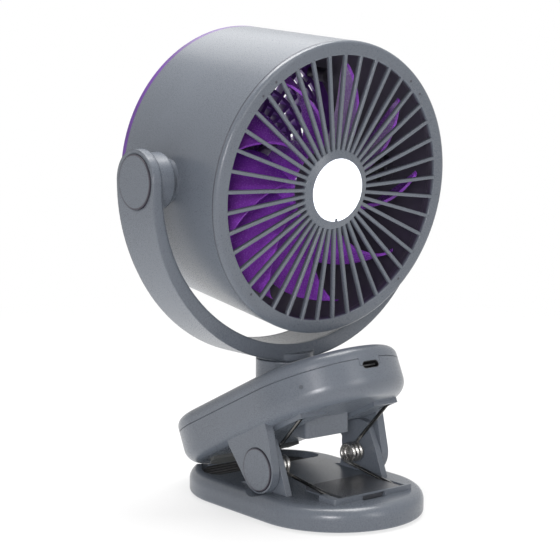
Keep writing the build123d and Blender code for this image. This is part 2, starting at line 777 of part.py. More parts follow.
def case_bottom():
    """The lower shell of the case, with lugs, spring tabs and stop."""
    shell = case_outside() & block(-FAR, FAR, -FAR, FAR, -FAR, 0)
    tab_low = -CASE_BELOW - UNDER_TAB_DEPTH
    for side in SIDES:
        near, far = sorted((side * UNDER_TAB_INSIDE, side * UNDER_TAB_OUTSIDE))
        shell += block(near, far, UNDER_TAB_FRONT, UNDER_TAB_REAR, tab_low, -CASE_BELOW + PAST)
    shell = on_case(shell)
    stop = block(
        -STOP_HALF_WIDTH, STOP_HALF_WIDTH, STOP_FRONT, STOP_REAR, STOP_BOTTOM, CASE_SEAM_HEIGHT
    )
    stop = fillet(stop.edges().filter_by(Axis.Z).sort_by(Axis.Y)[:2], STOP_EDGE)
    shell += stop
    for side in SIDES:
        shell += upper_lug(side)
    shell -= on_case(case_inside())
    rim = slab(CASE_HALF_WIDTH + PAST, CASE_FRONT, CASE_REAR, -SEAM_GROOVE, PAST)
    rim -= slab(CASE_HALF_WIDTH - SEAM_GROOVE_DEPTH, CASE_FRONT, CASE_REAR, -SEAM_GROOVE, PAST)
    shell -= on_case(rim)
    for side in SIDES:
        for cut in lug_bores(side):
            shell -= cut
    shell -= on_case(port_tongue(SEAT_GAP))
    shell -= on_case(port_opening(0))
    shell -= on_case(indicator(INDICATOR_RADIUS, CASE_WALL * 2))
    for side in SIDES:
        x = side * spring_slot_x()
        slot = block(
            x - LEG_SLOT / 2,
            x + LEG_SLOT / 2,
            UPPER_LEG_END_Y - LEG_SLOT,
            UPPER_LEG_END_Y + 2 * LEG_SLOT,
            -FAR,
            -CASE_BELOW,
        )
        shell -= on_case(slot)
    for x, y in case_screw_places():
        post = rod(CASE_BOSS_RADIUS, -CASE_BELOW + CASE_WALL / 2, 0, x, y)
        seat = rod(SCREW_HEAD_RADIUS + SEAT_GAP, -FAR, -CASE_BELOW + SCREW_HEAD, x, y)
        hole = rod(SCREW_RADIUS + SEAT_GAP, -FAR, FAR, x, y)
        shell = shell + on_case(post) - on_case(seat) - on_case(hole)
    return shell


def spring_slot_x():
    """Where the case-side leg of the right-hand spring lies."""
    return (spring_wire() @ 1).X


def case_top():
    """The upper shell of the case, with the swivel neck."""
    shell = case_outside() & block(-FAR, FAR, -FAR, FAR, 0, FAR)
    shell += port_tongue(0) & case_outside()
    shell = on_case(shell)
    neck = rod(NECK_RADIUS, CASE_SEAM_HEIGHT + CASE_ABOVE, NECK_TOP, 0, SWIVEL_Y)
    neck = fillet(neck.edges().group_by(Axis.Z)[-1], NECK_EDGE)
    shell += neck
    shell -= on_case(case_inside())
    boss = rod(NECK_RADIUS, NECK_BOTTOM, CASE_SEAM_HEIGHT + 2 * CASE_ABOVE, 0, SWIVEL_Y)
    boss &= on_case(case_inside())
    shell += boss
    shell -= rod(STEM_RADIUS + RUNNING_FIT, 0, FAR, 0, SWIVEL_Y)
    shell -= on_case(rod(BUTTON_RADIUS + SHADOW_GAP, 0, FAR, 0, BUTTON_Y))
    shell -= on_case(port_opening(0))
    for x, y in case_screw_places():
        post = rod(CASE_BOSS_RADIUS, 0, CASE_ABOVE - CASE_WALL / 2, x, y)
        hole = rod(SCREW_RADIUS, -PAST, CASE_SCREW_BITE + SCREW_TIP_ROOM, x, y)
        shell = shell + on_case(post) - on_case(hole)
    return shell


def case_screws():
    """Four screws that close the case from below."""
    reach = CASE_BELOW - SCREW_HEAD + CASE_SCREW_BITE
    return Compound(
        children=[
            on_case(screw(SCREW_HEAD_RADIUS, SCREW_HEAD, reach, -CASE_BELOW, x, y))
            for x, y in case_screw_places()
        ]
    )


def upper_jaw_pad():
    """The rubber pad under the rear of the case."""
    edge = CASE_HALF_WIDTH - UPPER_PAD_INSET
    low = -CASE_BELOW - UPPER_PAD_THICKNESS
    pad = slab(edge, CASE_FRONT, CASE_REAR, low, -CASE_BELOW)
    pad &= block(-FAR, FAR, UPPER_PAD_FRONT, UPPER_PAD_REAR, -FAR, FAR)
    for x, y in case_screw_places():
        pad -= rod(SCREW_HEAD_RADIUS + SEAT_GAP, -FAR, FAR, x, y)
    return on_case(pad)


def hinge_pin(side):
    """A pin held in the case's lug that turns in the base's lug and carries the coil."""
    cap_floor = UPPER_LUG_OUTSIDE - HINGE_CAP_SEAT
    near, far = sorted((side * HINGE_PIN_INNER, side * cap_floor))
    pin = cross_rod(HINGE_PIN_RADIUS, near, far, HINGE_Y, HINGE_Z)
    near, far = sorted((side * (cap_floor - HINGE_PIN_HEAD), side * cap_floor))
    return pin + cross_rod(HINGE_PIN_HEAD_RADIUS, near, far, HINGE_Y, HINGE_Z)


def hinge_cap(side):
    """The round cap over a hinge pin."""
    floor = UPPER_LUG_OUTSIDE - HINGE_CAP_SEAT
    near, far = sorted((side * floor, side * (UPPER_LUG_OUTSIDE + HINGE_CAP_PROUD)))
    cap = cross_rod(HINGE_CAP_RADIUS, near, far, HINGE_Y, HINGE_Z)
    face = cap.edges().sort_by(Axis.X)[0 if side < 0 else -1]
    return fillet(face, HINGE_CAP_PROUD / 2)


# ---- Electrics in the case ----
def board_top():
    """The height of the board's upper face, in the case's plane."""
    return -PORT_DROP - PORT_HEIGHT / 2


def socket_front():
    """The front end of the socket, in the case's plane."""
    return CASE_FRONT - CASE_HALF_WIDTH + SHADOW_GAP


def charging_socket():
    """The metal shell of the charging socket, with its tongue."""
    outline = SlotOverall(PORT_WIDTH, PORT_HEIGHT)
    inner = SlotOverall(PORT_WIDTH - 2 * SOCKET_WALL, PORT_HEIGHT - 2 * SOCKET_WALL)
    front = Plane(origin=(0, socket_front(), -PORT_DROP), x_dir=(1, 0, 0), z_dir=(0, 1, 0))
    shell = extrude(front * outline, SOCKET_DEPTH)
    shell -= extrude(front * inner, SOCKET_DEPTH - SOCKET_FLOOR)
    tongue = Rectangle(SOCKET_TONGUE_WIDTH, SOCKET_TONGUE_HEIGHT)
    tongue_front = socket_front() + SOCKET_TONGUE_SETBACK
    inset = Plane(origin=(0, tongue_front, -PORT_DROP), x_dir=(1, 0, 0), z_dir=(0, 1, 0))
    return on_case(shell + extrude(inset * tongue, SOCKET_DEPTH - SOCKET_TONGUE_SETBACK))


def circuit_board():
    """The board under the button, in the front half of the case."""
    top = board_top()
    front = socket_front() + 2 * CASE_WALL
    board = block(
        -BOARD_HALF_WIDTH, BOARD_HALF_WIDTH, front, BOARD_REAR, top - BOARD_THICKNESS, top
    )
    edge = CASE_HALF_WIDTH - CASE_WALL - BOARD_EDGE_GAP
    board &= slab(edge, CASE_FRONT, CASE_REAR, -FAR, FAR)
    for x, y in case_screw_places():
        board -= rod(CASE_BOSS_RADIUS + SEAT_GAP, -FAR, FAR, x, y)
    return on_case(board)


def tact_switch():
    """The switch that the button presses."""
    top = board_top() + SWITCH_HEIGHT
    half = SWITCH_SIZE / 2
    body = block(-half, half, BUTTON_Y - half, BUTTON_Y + half, board_top(), top)
    plunger = rod(SWITCH_PLUNGER_RADIUS, top, top + SWITCH_PLUNGER_HEIGHT, 0, BUTTON_Y)
    return on_case(body + plunger)


def power_button():
    """The round button in the top of the case, with its flange and post."""
    roof = CASE_ABOVE - CASE_WALL
    flange_top = roof - SEAT_GAP
    flange_low = flange_top - BUTTON_FLANGE_THICKNESS
    post_low = board_top() + SWITCH_HEIGHT + SWITCH_PLUNGER_HEIGHT + BUTTON_TRAVEL + SEAT_GAP
    cap = rod(BUTTON_RADIUS, flange_low, CASE_ABOVE + BUTTON_PROUD, 0, BUTTON_Y)
    cap = fillet(cap.edges().group_by(Axis.Z)[-1], BUTTON_PROUD / 2)
    cap += rod(BUTTON_RADIUS + BUTTON_FLANGE, flange_low, flange_top, 0, BUTTON_Y)
    return on_case(cap + rod(BUTTON_POST_RADIUS, post_low, flange_low, 0, BUTTON_Y))


def battery_cell():
    """The lithium cell across the rear of the case, with its raised cap."""
    z = -CASE_BELOW + CASE_WALL + BATTERY_RADIUS + SEAT_GAP
    half = BATTERY_LENGTH / 2
    cell = cross_rod(BATTERY_RADIUS, -half, half, BATTERY_Y, z)
    return on_case(cell + cross_rod(BATTERY_CAP_RADIUS, half, half + BATTERY_CAP, BATTERY_Y, z))


# ---- Yoke ----
def yoke_foot_z():
    """The height of the underside of the yoke's swivel foot."""
    return NECK_TOP + BODY_GAP


def arch(outer, inner, sag, half_width, top):
    """A half ring under the tilt axis, thicker at its bottom by sag, with arms up to top."""
    outline = Pos(0, -sag) * (Circle(outer) & Pos(0, -FAR / 2) * Rectangle(2 * FAR, FAR))
    outline += Pos(0, (top - sag) / 2) * Rectangle(2 * outer, top + sag)
    inside = Circle(inner) & Pos(0, -FAR / 2) * Rectangle(2 * FAR, FAR)
    inside += Pos(0, top / 2) * Rectangle(2 * inner, top)
    place = Plane(origin=(0, half_width, PIVOT_HEIGHT), x_dir=(1, 0, 0), z_dir=(0, -1, 0))
    return extrude(place * (outline - inside), 2 * half_width)


def yoke_frame():
    """The outer arch of the yoke with its round arm ends and its swivel foot."""
    frame = arch(
        YOKE_OUTER_RADIUS, YOKE_INNER_RADIUS, YOKE_SAG, YOKE_END_RADIUS, YOKE_END_RADIUS
    )
    taper_z = PIVOT_HEIGHT - YOKE_TAPER_DROP
    points = [
        (-YOKE_END_RADIUS, PIVOT_HEIGHT),
        (-YOKE_HALF_WIDTH, taper_z),
        (-YOKE_HALF_WIDTH, 0),
        (YOKE_HALF_WIDTH, 0),
        (YOKE_HALF_WIDTH, taper_z),
        (YOKE_END_RADIUS, PIVOT_HEIGHT),
    ]
    side_view = side_profile(points, -FAR, FAR)
    side_view += cross_rod(YOKE_END_RADIUS, -FAR, FAR, 0, PIVOT_HEIGHT)
    frame &= side_view
    foot = rod(YOKE_FOOT_RADIUS, yoke_foot_z(), yoke_foot_z() + YOKE_FOOT_HEIGHT, 0, SWIVEL_Y)
    frame += foot
    cover_outer = YOKE_INNER_RADIUS + YOKE_COVER_THICKNESS
    channel = yoke_channel(cover_outer, YOKE_HALF_WIDTH - YOKE_COVER_BORDER, YOKE_COVER_END)
    frame -= channel
    lead_room = yoke_channel(
        cover_outer + YOKE_CHANNEL_DEPTH, YOKE_HALF_WIDTH / 2, YOKE_COVER_END + LEAD_ROOM_DROP
    )
    frame -= lead_room
    for side in SIDES:
        near, far = sorted((side * ARM_BOSS_INNER, side * (YOKE_INNER_RADIUS + PAST)))
        frame += cross_rod(ARM_BOSS_RADIUS, near, far, 0, PIVOT_HEIGHT)
        for cut in arm_bores(side):
            frame -= cut
    frame -= rod(STEM_RADIUS, 0, PIVOT_HEIGHT - YOKE_INNER_RADIUS, 0, SWIVEL_Y)
    return frame


def yoke_channel(outer, half_width, drop):
    """The part of the arch between the inner radius and outer, below the tilt axis by drop."""
    ring = Circle(outer) - Circle(YOKE_INNER_RADIUS - PAST)
    ring &= Pos(0, -FAR / 2 - drop) * Rectangle(2 * FAR, FAR)
    place = Plane(origin=(0, half_width, PIVOT_HEIGHT), x_dir=(1, 0, 0), z_dir=(0, -1, 0))
    return extrude(place * ring, 2 * half_width)


def arm_bores(side):
    """The bolt bore and the seats of bolt head and cap in one arm end."""
    cap_floor = YOKE_OUTER_RADIUS - PIVOT_CAP_SEAT
    head_floor = cap_floor - PIVOT_BOLT_HEAD - SEAT_GAP - RUNNING_FIT
    cuts = []
    for radius, depth in (
        (PIVOT_BOLT_RADIUS + RUNNING_FIT, ARM_BOSS_INNER - PAST),
        (PIVOT_BOLT_HEAD_RADIUS + BODY_GAP, head_floor),
        (PIVOT_CAP_RADIUS + SHADOW_GAP, cap_floor),
    ):
        near, far = sorted((side * depth, side * FAR))
        cuts.append(cross_rod(radius, near, far, 0, PIVOT_HEIGHT))
    return cuts


def yoke_cover():
    """The inner lining of the yoke that closes the wire channel."""
    half_width = YOKE_HALF_WIDTH - YOKE_COVER_BORDER - SEAT_GAP
    outer = YOKE_INNER_RADIUS + YOKE_COVER_THICKNESS - SEAT_GAP
    ring = Circle(outer) - Circle(YOKE_INNER_RADIUS)
    drop = YOKE_COVER_END + SEAT_GAP
    ring &= Pos(0, -FAR / 2 - drop) * Rectangle(2 * FAR, FAR)
    place = Plane(origin=(0, half_width, PIVOT_HEIGHT), x_dir=(1, 0, 0), z_dir=(0, -1, 0))
    return extrude(place * ring, 2 * half_width)


def swivel_stem():
    """The hollow stem from the yoke down through the neck."""
    top = PIVOT_HEIGHT - YOKE_INNER_RADIUS - YOKE_COVER_THICKNESS - YOKE_CHANNEL_DEPTH
    low = NECK_BOTTOM - BODY_GAP - SWIVEL_WASHER - SWIVEL_NUT
    return tube(STEM_RADIUS, STEM_BORE, low, top, 0, SWIVEL_Y)


def swivel_washer():
    """The washer under the neck."""
    top = NECK_BOTTOM - BODY_GAP
    return tube(SWIVEL_WASHER_RADIUS, STEM_RADIUS, top - SWIVEL_WASHER, top, 0, SWIVEL_Y)


def swivel_nut():
    """The nut that holds the stem in the neck."""
    top = NECK_BOTTOM - BODY_GAP - SWIVEL_WASHER
    nut = hexagon(SWIVEL_NUT_FLATS, top - SWIVEL_NUT, top, 0, SWIVEL_Y)
    return nut - rod(STEM_RADIUS, 0, FAR, 0, SWIVEL_Y)


def yoke_lead():
    """The lead that runs up the left arm in the channel."""
    radius = YOKE_INNER_RADIUS + YOKE_COVER_THICKNESS + YOKE_CHANNEL_DEPTH / 2
    start = math.radians(LEAD_LOW_ANGLE)
    end = math.radians(LEAD_HIGH_ANGLE)
    middle = (start + end) / 2
    places = [
        (radius * math.cos(a), 0, PIVOT_HEIGHT + radius * math.sin(a))
        for a in (start, middle, end)
    ]
    path = ThreePointArc(*places)
    return sweep(Plane(origin=path @ 0, z_dir=path % 0) * Circle(LEAD_RADIUS), path=path)


def pivot_cap(side):
    """The round cap on the outside of an arm end."""
    floor = YOKE_OUTER_RADIUS - PIVOT_CAP_SEAT
    near, far = sorted((side * floor, side * (YOKE_OUTER_RADIUS + PIVOT_CAP_PROUD)))
    cap = cross_rod(PIVOT_CAP_RADIUS, near, far, 0, PIVOT_HEIGHT)
    face = cap.edges().sort_by(Axis.X)[0 if side < 0 else -1]
    return fillet(face, PIVOT_CAP_PROUD / 2)


# ---- Fan head ----
def drum_radius(z):
    """The outer radius of the tapered drum at a place along the fan axis."""
    share = (z + HEAD_REAR) / (HEAD_FRONT + HEAD_REAR)
    return HEAD_REAR_RADIUS + share * (HEAD_RADIUS - HEAD_REAR_RADIUS)


def taper(inset, z0, z1):
    """A solid with the drum's taper, drawn in by an inset."""
    length = z1 - z0
    solid = Cone(drum_radius(z0) - inset, drum_radius(z1) - inset, length)
    return Pos(0, 0, (z0 + z1) / 2) * solid


def rear_screw_places():
    """Where the screws of the rear grille stand."""
    count = REAR_SCREW_COUNT
    angles = [math.radians(45 + 360 * i / count) for i in range(count)]
    return [(REAR_SCREW_CIRCLE * math.cos(a), REAR_SCREW_CIRCLE * math.sin(a)) for a in angles]


def drum_front():
    """The front edge of the drum, along the fan axis."""
    return HEAD_FRONT - RING_DEPTH - SHADOW_GAP


def drum_rear():
    """The rear edge of the drum, along the fan axis."""
    return -HEAD_REAR + REAR_RING_DEPTH


def drum_housing():
    """The drum with its pivot bosses and the screw bosses at its rear."""
    outer = taper(0, drum_rear(), drum_front())
    inner = taper(DRUM_WALL, drum_rear() - PAST, drum_front() + PAST)
    drum = outer - inner
    for side in SIDES:
        wall_x = drum_radius(0) - DRUM_WALL
        near, far = sorted((side * wall_x, side * PIVOT_BOSS_END))
        drum += cross_rod(PIVOT_BOSS_RADIUS, near, far) - inner
        near, far = sorted((side * (wall_x - PIVOT_STUB_LENGTH), side * (wall_x + PAST)))
        drum += cross_rod(PIVOT_STUB_RADIUS, near, far)
        near, far = sorted((0, side * FAR))
        drum -= cross_rod(PIVOT_BOLT_RADIUS, near, far)
    for x, y in rear_screw_places():
        boss = rod(REAR_BOSS_RADIUS, drum_rear(), drum_rear() + REAR_BOSS_LENGTH, x, y)
        drum += boss
        hole_end = drum_rear() + REAR_SCREW_BITE + SCREW_TIP_ROOM
        drum -= rod(SCREW_RADIUS, drum_rear() - PAST, hole_end, x, y)
    return on_head(drum)


def ring_dimple_places():
    """Where the small moulding marks lie on the front ring."""
    middle = (RING_INNER_RADIUS + HEAD_RADIUS - RING_ROUND) / 2
    angles = [math.radians(a) for a in RING_DIMPLE_ANGLES]
    return [(middle * math.cos(a), middle * math.sin(a)) for a in angles]


def front_grille():
    """The front ring, its radial spokes and the cup at their hub."""
    face = HEAD_FRONT
    seat = HEAD_FRONT - RING_DEPTH
    spigot_outer = drum_radius(drum_front()) - DRUM_WALL - SEAT_GAP
    spigot_inner = spigot_outer - RING_SPIGOT_WALL
    grille = turned(
        [
            (RING_INNER_RADIUS, face),
            (HEAD_RADIUS, face),
            (HEAD_RADIUS, seat),
            (spigot_outer, seat),
            (spigot_outer, seat - RING_SPIGOT_DEPTH),
            (spigot_inner, seat - RING_SPIGOT_DEPTH),
            (spigot_inner, face - RING_LIP_DEPTH),
            (RING_INNER_RADIUS, face - RING_LIP_DEPTH),
        ]
    )
    rims = grille.edges().filter_by(GeomType.CIRCLE).sort_by(SortBy.RADIUS)[-2:]
    grille = fillet(rims.sort_by(Axis.Z)[-1], RING_ROUND)
    for x, y in ring_dimple_places():
        grille -= rod(RING_DIMPLE_RADIUS, face - RING_DIMPLE_DEPTH, face + PAST, x, y)
    cup_low = face - GRILLE_HUB_DEPTH
    cup_floor = cup_low + GRILLE_HUB_FLOOR
    seat_radius = LENS_RADIUS + SEAT_GAP
    cup = turned(
        [
            (0, cup_low),
            (GRILLE_HUB_RADIUS, cup_low),
            (GRILLE_HUB_RADIUS, face),
            (seat_radius + RING_DIMPLE_DEPTH, face + GRILLE_HUB_RISE),
            (seat_radius, face + GRILLE_HUB_RISE),
            (seat_radius, cup_floor),
            (0, cup_floor),
        ]
    )
    grille += cup - rod(WIRE_HOLE, cup_low, face)
    grille += lens_key(0)
    inner = LENS_RADIUS + (GRILLE_HUB_RADIUS - LENS_RADIUS) / 2
    outer = RING_INNER_RADIUS + PAST
    spoke = block(inner, outer, -SPOKE_WIDTH / 2, SPOKE_WIDTH / 2, face - SPOKE_DEPTH, face)
    return on_head(grille.fuse(*around(Rot(0, 0, SPOKE_PHASE) * spoke, SPOKE_COUNT)))


def lens_key(clearance):
    """The key at the edge of the lens seat, drawn larger by a clearance."""
    edge = HEAD_FRONT + GRILLE_HUB_RISE
    half = LENS_KEY_WIDTH / 2 + clearance
    inner = LENS_RADIUS - LENS_KEY_REACH - clearance
    outer = LENS_RADIUS + 2 * SEAT_GAP
    key = block(inner, outer, -half, half, edge - LENS_DEPTH - clearance, edge + clearance)
    return Rot(0, 0, LENS_KEY_ANGLE) * key


def light_lens():
    """The white disc over the lamp at the hub of the front grille."""
    edge = HEAD_FRONT + GRILLE_HUB_RISE
    ball = (LENS_RADIUS**2 + LENS_DOME**2) / (2 * LENS_DOME)
    lens = rod(LENS_RADIUS, edge - LENS_DEPTH, edge + LENS_DOME)
    lens &= Pos(0, 0, edge + LENS_DOME - ball) * Sphere(ball)
    return on_head(lens - lens_key(SEAT_GAP))


def led_board_top():
    """The front face of the lamp board, along the fan axis."""
    return HEAD_FRONT - LED_BOARD_SETBACK


def led_board():
    """The round board that carries the lamp's diodes."""
    top = led_board_top()
    board = rod(LENS_RADIUS, top - LED_BOARD_DEPTH, top)
    return on_head(board)


def led_chips():
    """The diodes of the lamp."""
    low = led_board_top()
    half = LED_SIZE / 2
    chip = block(LED_CIRCLE - half, LED_CIRCLE + half, -half, half, low, low + LED_HEIGHT)
    return Compound(
        children=[on_head(Rot(0, 0, i * 360 / LED_COUNT) * chip) for i in range(LED_COUNT)]
    )


def motor_rear():
    """The rear end of the motor, along the fan axis."""
    return -HEAD_REAR + MOTOR_SEAT


def motor_screw_places():
    """Where the two motor screws stand."""
    return [(0, side * MOTOR_SCREW_SPACING / 2) for side in SIDES]


def motor_cup():
    """The cup that holds the motor, standing on the rear grille."""
    seat = -HEAD_REAR + REAR_GRILLE_DEPTH
    outer = MOTOR_RADIUS + SEAT_GAP + MOTOR_CUP_WALL
    cup = rod(outer, seat, -HEAD_REAR + MOTOR_CUP_DEPTH)
    cup -= rod(MOTOR_RADIUS + SEAT_GAP, motor_rear(), FAR)
    cup -= rod(MOTOR_POCKET_RADIUS, seat - PAST, motor_rear() - MOTOR_FLOOR)
    for x, y in motor_screw_places():
        cup -= rod(SCREW_RADIUS + SEAT_GAP, seat - PAST, motor_rear() + PAST, x, y)
    return on_head(cup)


def rear_grille():
    """The rear ring with its spokes, hoops and hub disc."""
    low = -HEAD_REAR
    grille = tube(HEAD_REAR_RADIUS, REAR_RING_INNER_RADIUS, low, drum_rear())
    grille += rod(REAR_HUB_RADIUS, low, low + REAR_GRILLE_DEPTH)
    first = REAR_HUB_RADIUS + REAR_HUB_GAP
    room = REAR_RING_INNER_RADIUS - REAR_HOOP_WIDTH - first
    for hoop in range(1 + int(room / REAR_HOOP_PITCH)):
        radius = first + hoop * REAR_HOOP_PITCH
        grille += tube(radius + REAR_HOOP_WIDTH, radius, low, low + REAR_GRILLE_DEPTH)
    inner = REAR_HUB_RADIUS - PAST
    outer = REAR_RING_INNER_RADIUS + SEAT_GAP
    half = REAR_SPOKE_WIDTH / 2
    half_pitch = 180 / REAR_SPOKE_COUNT
    spoke = Rot(0, 0, half_pitch) * block(inner, outer, -half, half, low, low + REAR_GRILLE_DEPTH)
    grille = grille.fuse(*around(spoke, REAR_SPOKE_COUNT))
    for x, y in rear_screw_places():
        grille -= rod(SCREW_HEAD_RADIUS + SEAT_GAP, low - PAST, low + SCREW_HEAD, x, y)
        grille -= rod(SCREW_RADIUS + SEAT_GAP, low - PAST, FAR, x, y)
    return on_head(grille)


def rear_screws():
    """The screws that hold the rear grille to the drum."""
    reach = REAR_RING_DEPTH - SCREW_HEAD + REAR_SCREW_BITE
    return Compound(
        children=[
            on_head(screw(SCREW_HEAD_RADIUS, SCREW_HEAD, reach, -HEAD_REAR, x, y))
            for x, y in rear_screw_places()
        ]
    )


def motor_screws():
    """Two screws that hold the motor in its cup."""
    reach = MOTOR_FLOOR + MOTOR_WALL
    low = motor_rear() - MOTOR_FLOOR - SCREW_HEAD
    return Compound(
        children=[
            on_head(screw(SCREW_HEAD_RADIUS, SCREW_HEAD, reach, low, x, y))
            for x, y in motor_screw_places()
        ]
    )


def motor_front():
    """The front end of the motor, along the fan axis."""
    return motor_rear() + MOTOR_LENGTH


def motor_can():
    """The motor's steel can, with the bearing bores of its shaft."""
    can = rod(MOTOR_RADIUS, motor_rear(), motor_front())
    can -= rod(MOTOR_RADIUS - MOTOR_WALL, motor_rear() + MOTOR_WALL, motor_front() - MOTOR_WALL)
    can -= rod(MOTOR_SHAFT_RADIUS + RUNNING_FIT, motor_rear() + MOTOR_WALL / 2, FAR)
    for x, y in motor_screw_places():
        can -= rod(SCREW_RADIUS, motor_rear() - PAST, motor_rear() + MOTOR_WALL, x, y)
    return on_head(can)


def impeller_nose():
    """The front face of the impeller hub, along the fan axis."""
    return HEAD_FRONT - GRILLE_HUB_DEPTH - IMPELLER_NOSE_GAP


def motor_shaft():
    """The motor's shaft, from its rear bearing to the impeller's nose."""
    low = motor_rear() + 2 * MOTOR_WALL
    return on_head(rod(MOTOR_SHAFT_RADIUS, low, motor_front() + MOTOR_SHAFT_REACH))


def motor_rotor():
    """The wound rotor on the motor's shaft."""
    middle = (motor_rear() + motor_front()) / 2
    low = middle - ROTOR_LENGTH / 2
    return on_head(tube(ROTOR_RADIUS, MOTOR_SHAFT_RADIUS, low, low + ROTOR_LENGTH))


def blade_section(radius, sweep_angle, chord, pitch, z):
    """A flat blade section across the blade at a radius, as a thin face."""
    angle = math.radians(sweep_angle)
    centre = (radius * math.cos(angle), radius * math.sin(angle), z)
    away = (math.cos(angle), math.sin(angle), 0)
    around = (-math.sin(angle), math.cos(angle), 0)
    place = Plane(origin=centre, x_dir=around, z_dir=away)
    return place * Rot(0, 0, pitch) * Rectangle(chord, BLADE_THICKNESS)


def impeller_blade():
    """One sickle-shaped blade, whose narrow tip trails its root."""
    tip_front = HEAD_FRONT - SPOKE_DEPTH - BLADE_FRONT_GAP
    root_front = impeller_nose() - BLADE_ROOT_SETBACK
    root = IMPELLER_HUB_RADIUS - PAST
    span = BLADE_TIP_RADIUS - root
    sections = []
    for share, sweep_angle, chord, pitch in BLADE_STATIONS:
        front = tip_front if share > 0 else root_front
        lift = chord / 2 * math.sin(math.radians(pitch)) + BLADE_THICKNESS / 2
        sections.append(blade_section(root + share * span, sweep_angle, chord, pitch, front - lift))
    return loft(sections)


def impeller():
    """The hub cup and its ring of blades."""
    nose = impeller_nose()
    low = nose - IMPELLER_HUB_LENGTH
    hub = rod(IMPELLER_HUB_RADIUS, low, nose)
    hub = fillet(hub.edges().group_by(Axis.Z)[-1], IMPELLER_HUB_WALL)
    hub -= rod(IMPELLER_HUB_RADIUS - IMPELLER_HUB_WALL, low, nose - IMPELLER_HUB_WALL)
    room = rod(IMPELLER_HUB_RADIUS - IMPELLER_HUB_WALL / 2, low - FAR, nose - IMPELLER_HUB_WALL)
    blade = Rot(0, 0, BLADE_PHASE) * impeller_blade() - room
    wheel = hub.fuse(*around(blade, BLADE_COUNT))
    boss_low = motor_front() + BODY_GAP
    wheel += rod(IMPELLER_BOSS_RADIUS, boss_low, nose - IMPELLER_HUB_WALL / 2)
    wheel -= rod(MOTOR_SHAFT_RADIUS, boss_low - PAST, motor_front() + MOTOR_SHAFT_REACH)
    return on_head(wheel)


def pivot_bolt(side):
    """The bolt that an arm end turns on, fixed in the drum's boss."""
    cap_floor = YOKE_OUTER_RADIUS - PIVOT_CAP_SEAT
    head_out = cap_floor - SEAT_GAP
    head_in = head_out - PIVOT_BOLT_HEAD
    inner = drum_radius(0) - DRUM_WALL - PIVOT_STUB_LENGTH - PIVOT_NUT_LENGTH
    near, far = sorted((side * inner, side * head_out))
    bolt = cross_rod(PIVOT_BOLT_RADIUS, near, far)
    near, far = sorted((side * head_in, side * head_out))
    return on_head(bolt + cross_rod(PIVOT_BOLT_HEAD_RADIUS, near, far))


def pivot_washers():
    """Friction washers between the drum's bosses and the yoke."""
    washers = []
    for side in SIDES:
        near, far = sorted((side * PIVOT_BOSS_END, side * (PIVOT_BOSS_END + PIVOT_WASHER)))
        washer = cross_rod(PIVOT_WASHER_RADIUS, near, far)
        washers.append(on_head(washer - cross_rod(PIVOT_BOLT_RADIUS, near, far)))
    return Compound(children=washers)


def pivot_nuts():
    """Nuts on the inner ends of the pivot bolts."""
    nuts = []
    for side in SIDES:
        outer = drum_radius(0) - DRUM_WALL - PIVOT_STUB_LENGTH
        near = outer - PIVOT_NUT_LENGTH
        nut = hexagon(PIVOT_NUT_FLATS, near, outer) - rod(PIVOT_BOLT_RADIUS, near, outer)
        nuts.append(on_head(Rot(0, side * 90, 0) * nut))
    return Compound(children=nuts)


# ---- Every piece, by name ----
def pieces():
    """All the pieces of the fan, each under its own name."""
    spring = torsion_spring()
    return {
        "lower_jaw": lower_jaw(),
        "bottom_cover": bottom_cover(),
        "base_screws": base_screws(),
        "rubber_sole": rubber_sole(),
        "spring_cover": spring_cover(),
        "lower_jaw_pad": lower_jaw_pad(),
        "right_spring": spring,
        "left_spring": mirror(spring, about=Plane.YZ),
        "case_bottom": case_bottom(),
        "case_top": case_top(),
        "case_screws": case_screws(),
        "upper_jaw_pad": upper_jaw_pad(),
        "left_hinge_pin": hinge_pin(-1),
        "right_hinge_pin": hinge_pin(1),
        "left_hinge_cap": hinge_cap(-1),
        "right_hinge_cap": hinge_cap(1),
        "charging_socket": charging_socket(),
        "circuit_board": circuit_board(),
        "tact_switch": tact_switch(),
        "power_button": power_button(),
        "indicator_light": on_case(indicator(INDICATOR_RADIUS, INDICATOR_LENGTH)),
        "battery_cell": battery_cell(),
        "yoke_frame": yoke_frame(),
        "yoke_cover": yoke_cover(),
        "yoke_lead": yoke_lead(),
        "swivel_stem": swivel_stem(),
        "swivel_washer": swivel_washer(),
        "swivel_nut": swivel_nut(),
        "left_pivot_cap": pivot_cap(-1),
        "right_pivot_cap": pivot_cap(1),
        "drum_housing": drum_housing(),
        "front_grille": front_grille(),
        "light_lens": light_lens(),
        "led_board": led_board(),
        "led_chips": led_chips(),
        "rear_grille": rear_grille(),
        "motor_cup": motor_cup(),
        "rear_screws": rear_screws(),
        "motor_can": motor_can(),
        "motor_screws": motor_screws(),
        "left_pivot_bolt": pivot_bolt(-1),
        "right_pivot_bolt": pivot_bolt(1),
        "pivot_washers": pivot_washers(),
        "pivot_nuts": pivot_nuts(),
        "impeller": impeller(),
        "motor_shaft": motor_shaft(),
        "motor_rotor": motor_rotor(),
    }


os.makedirs("parts", exist_ok=True)
for name, shape in pieces().items():
    export_step(shape, os.path.join("parts", name + ".step"))
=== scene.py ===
import json
import logging
import math
from collections.abc import Callable, Sequence
from dataclasses import dataclass
from enum import Enum
from functools import cache
from typing import Any

import bmesh
import bpy
from bpy.types import Material, Mesh, Node
from bpy.types import NodeSocket as Socket
from bpy.types import NodeTree as Tree
from bpy.types import Object as Piece
from mathutils import Matrix, Vector


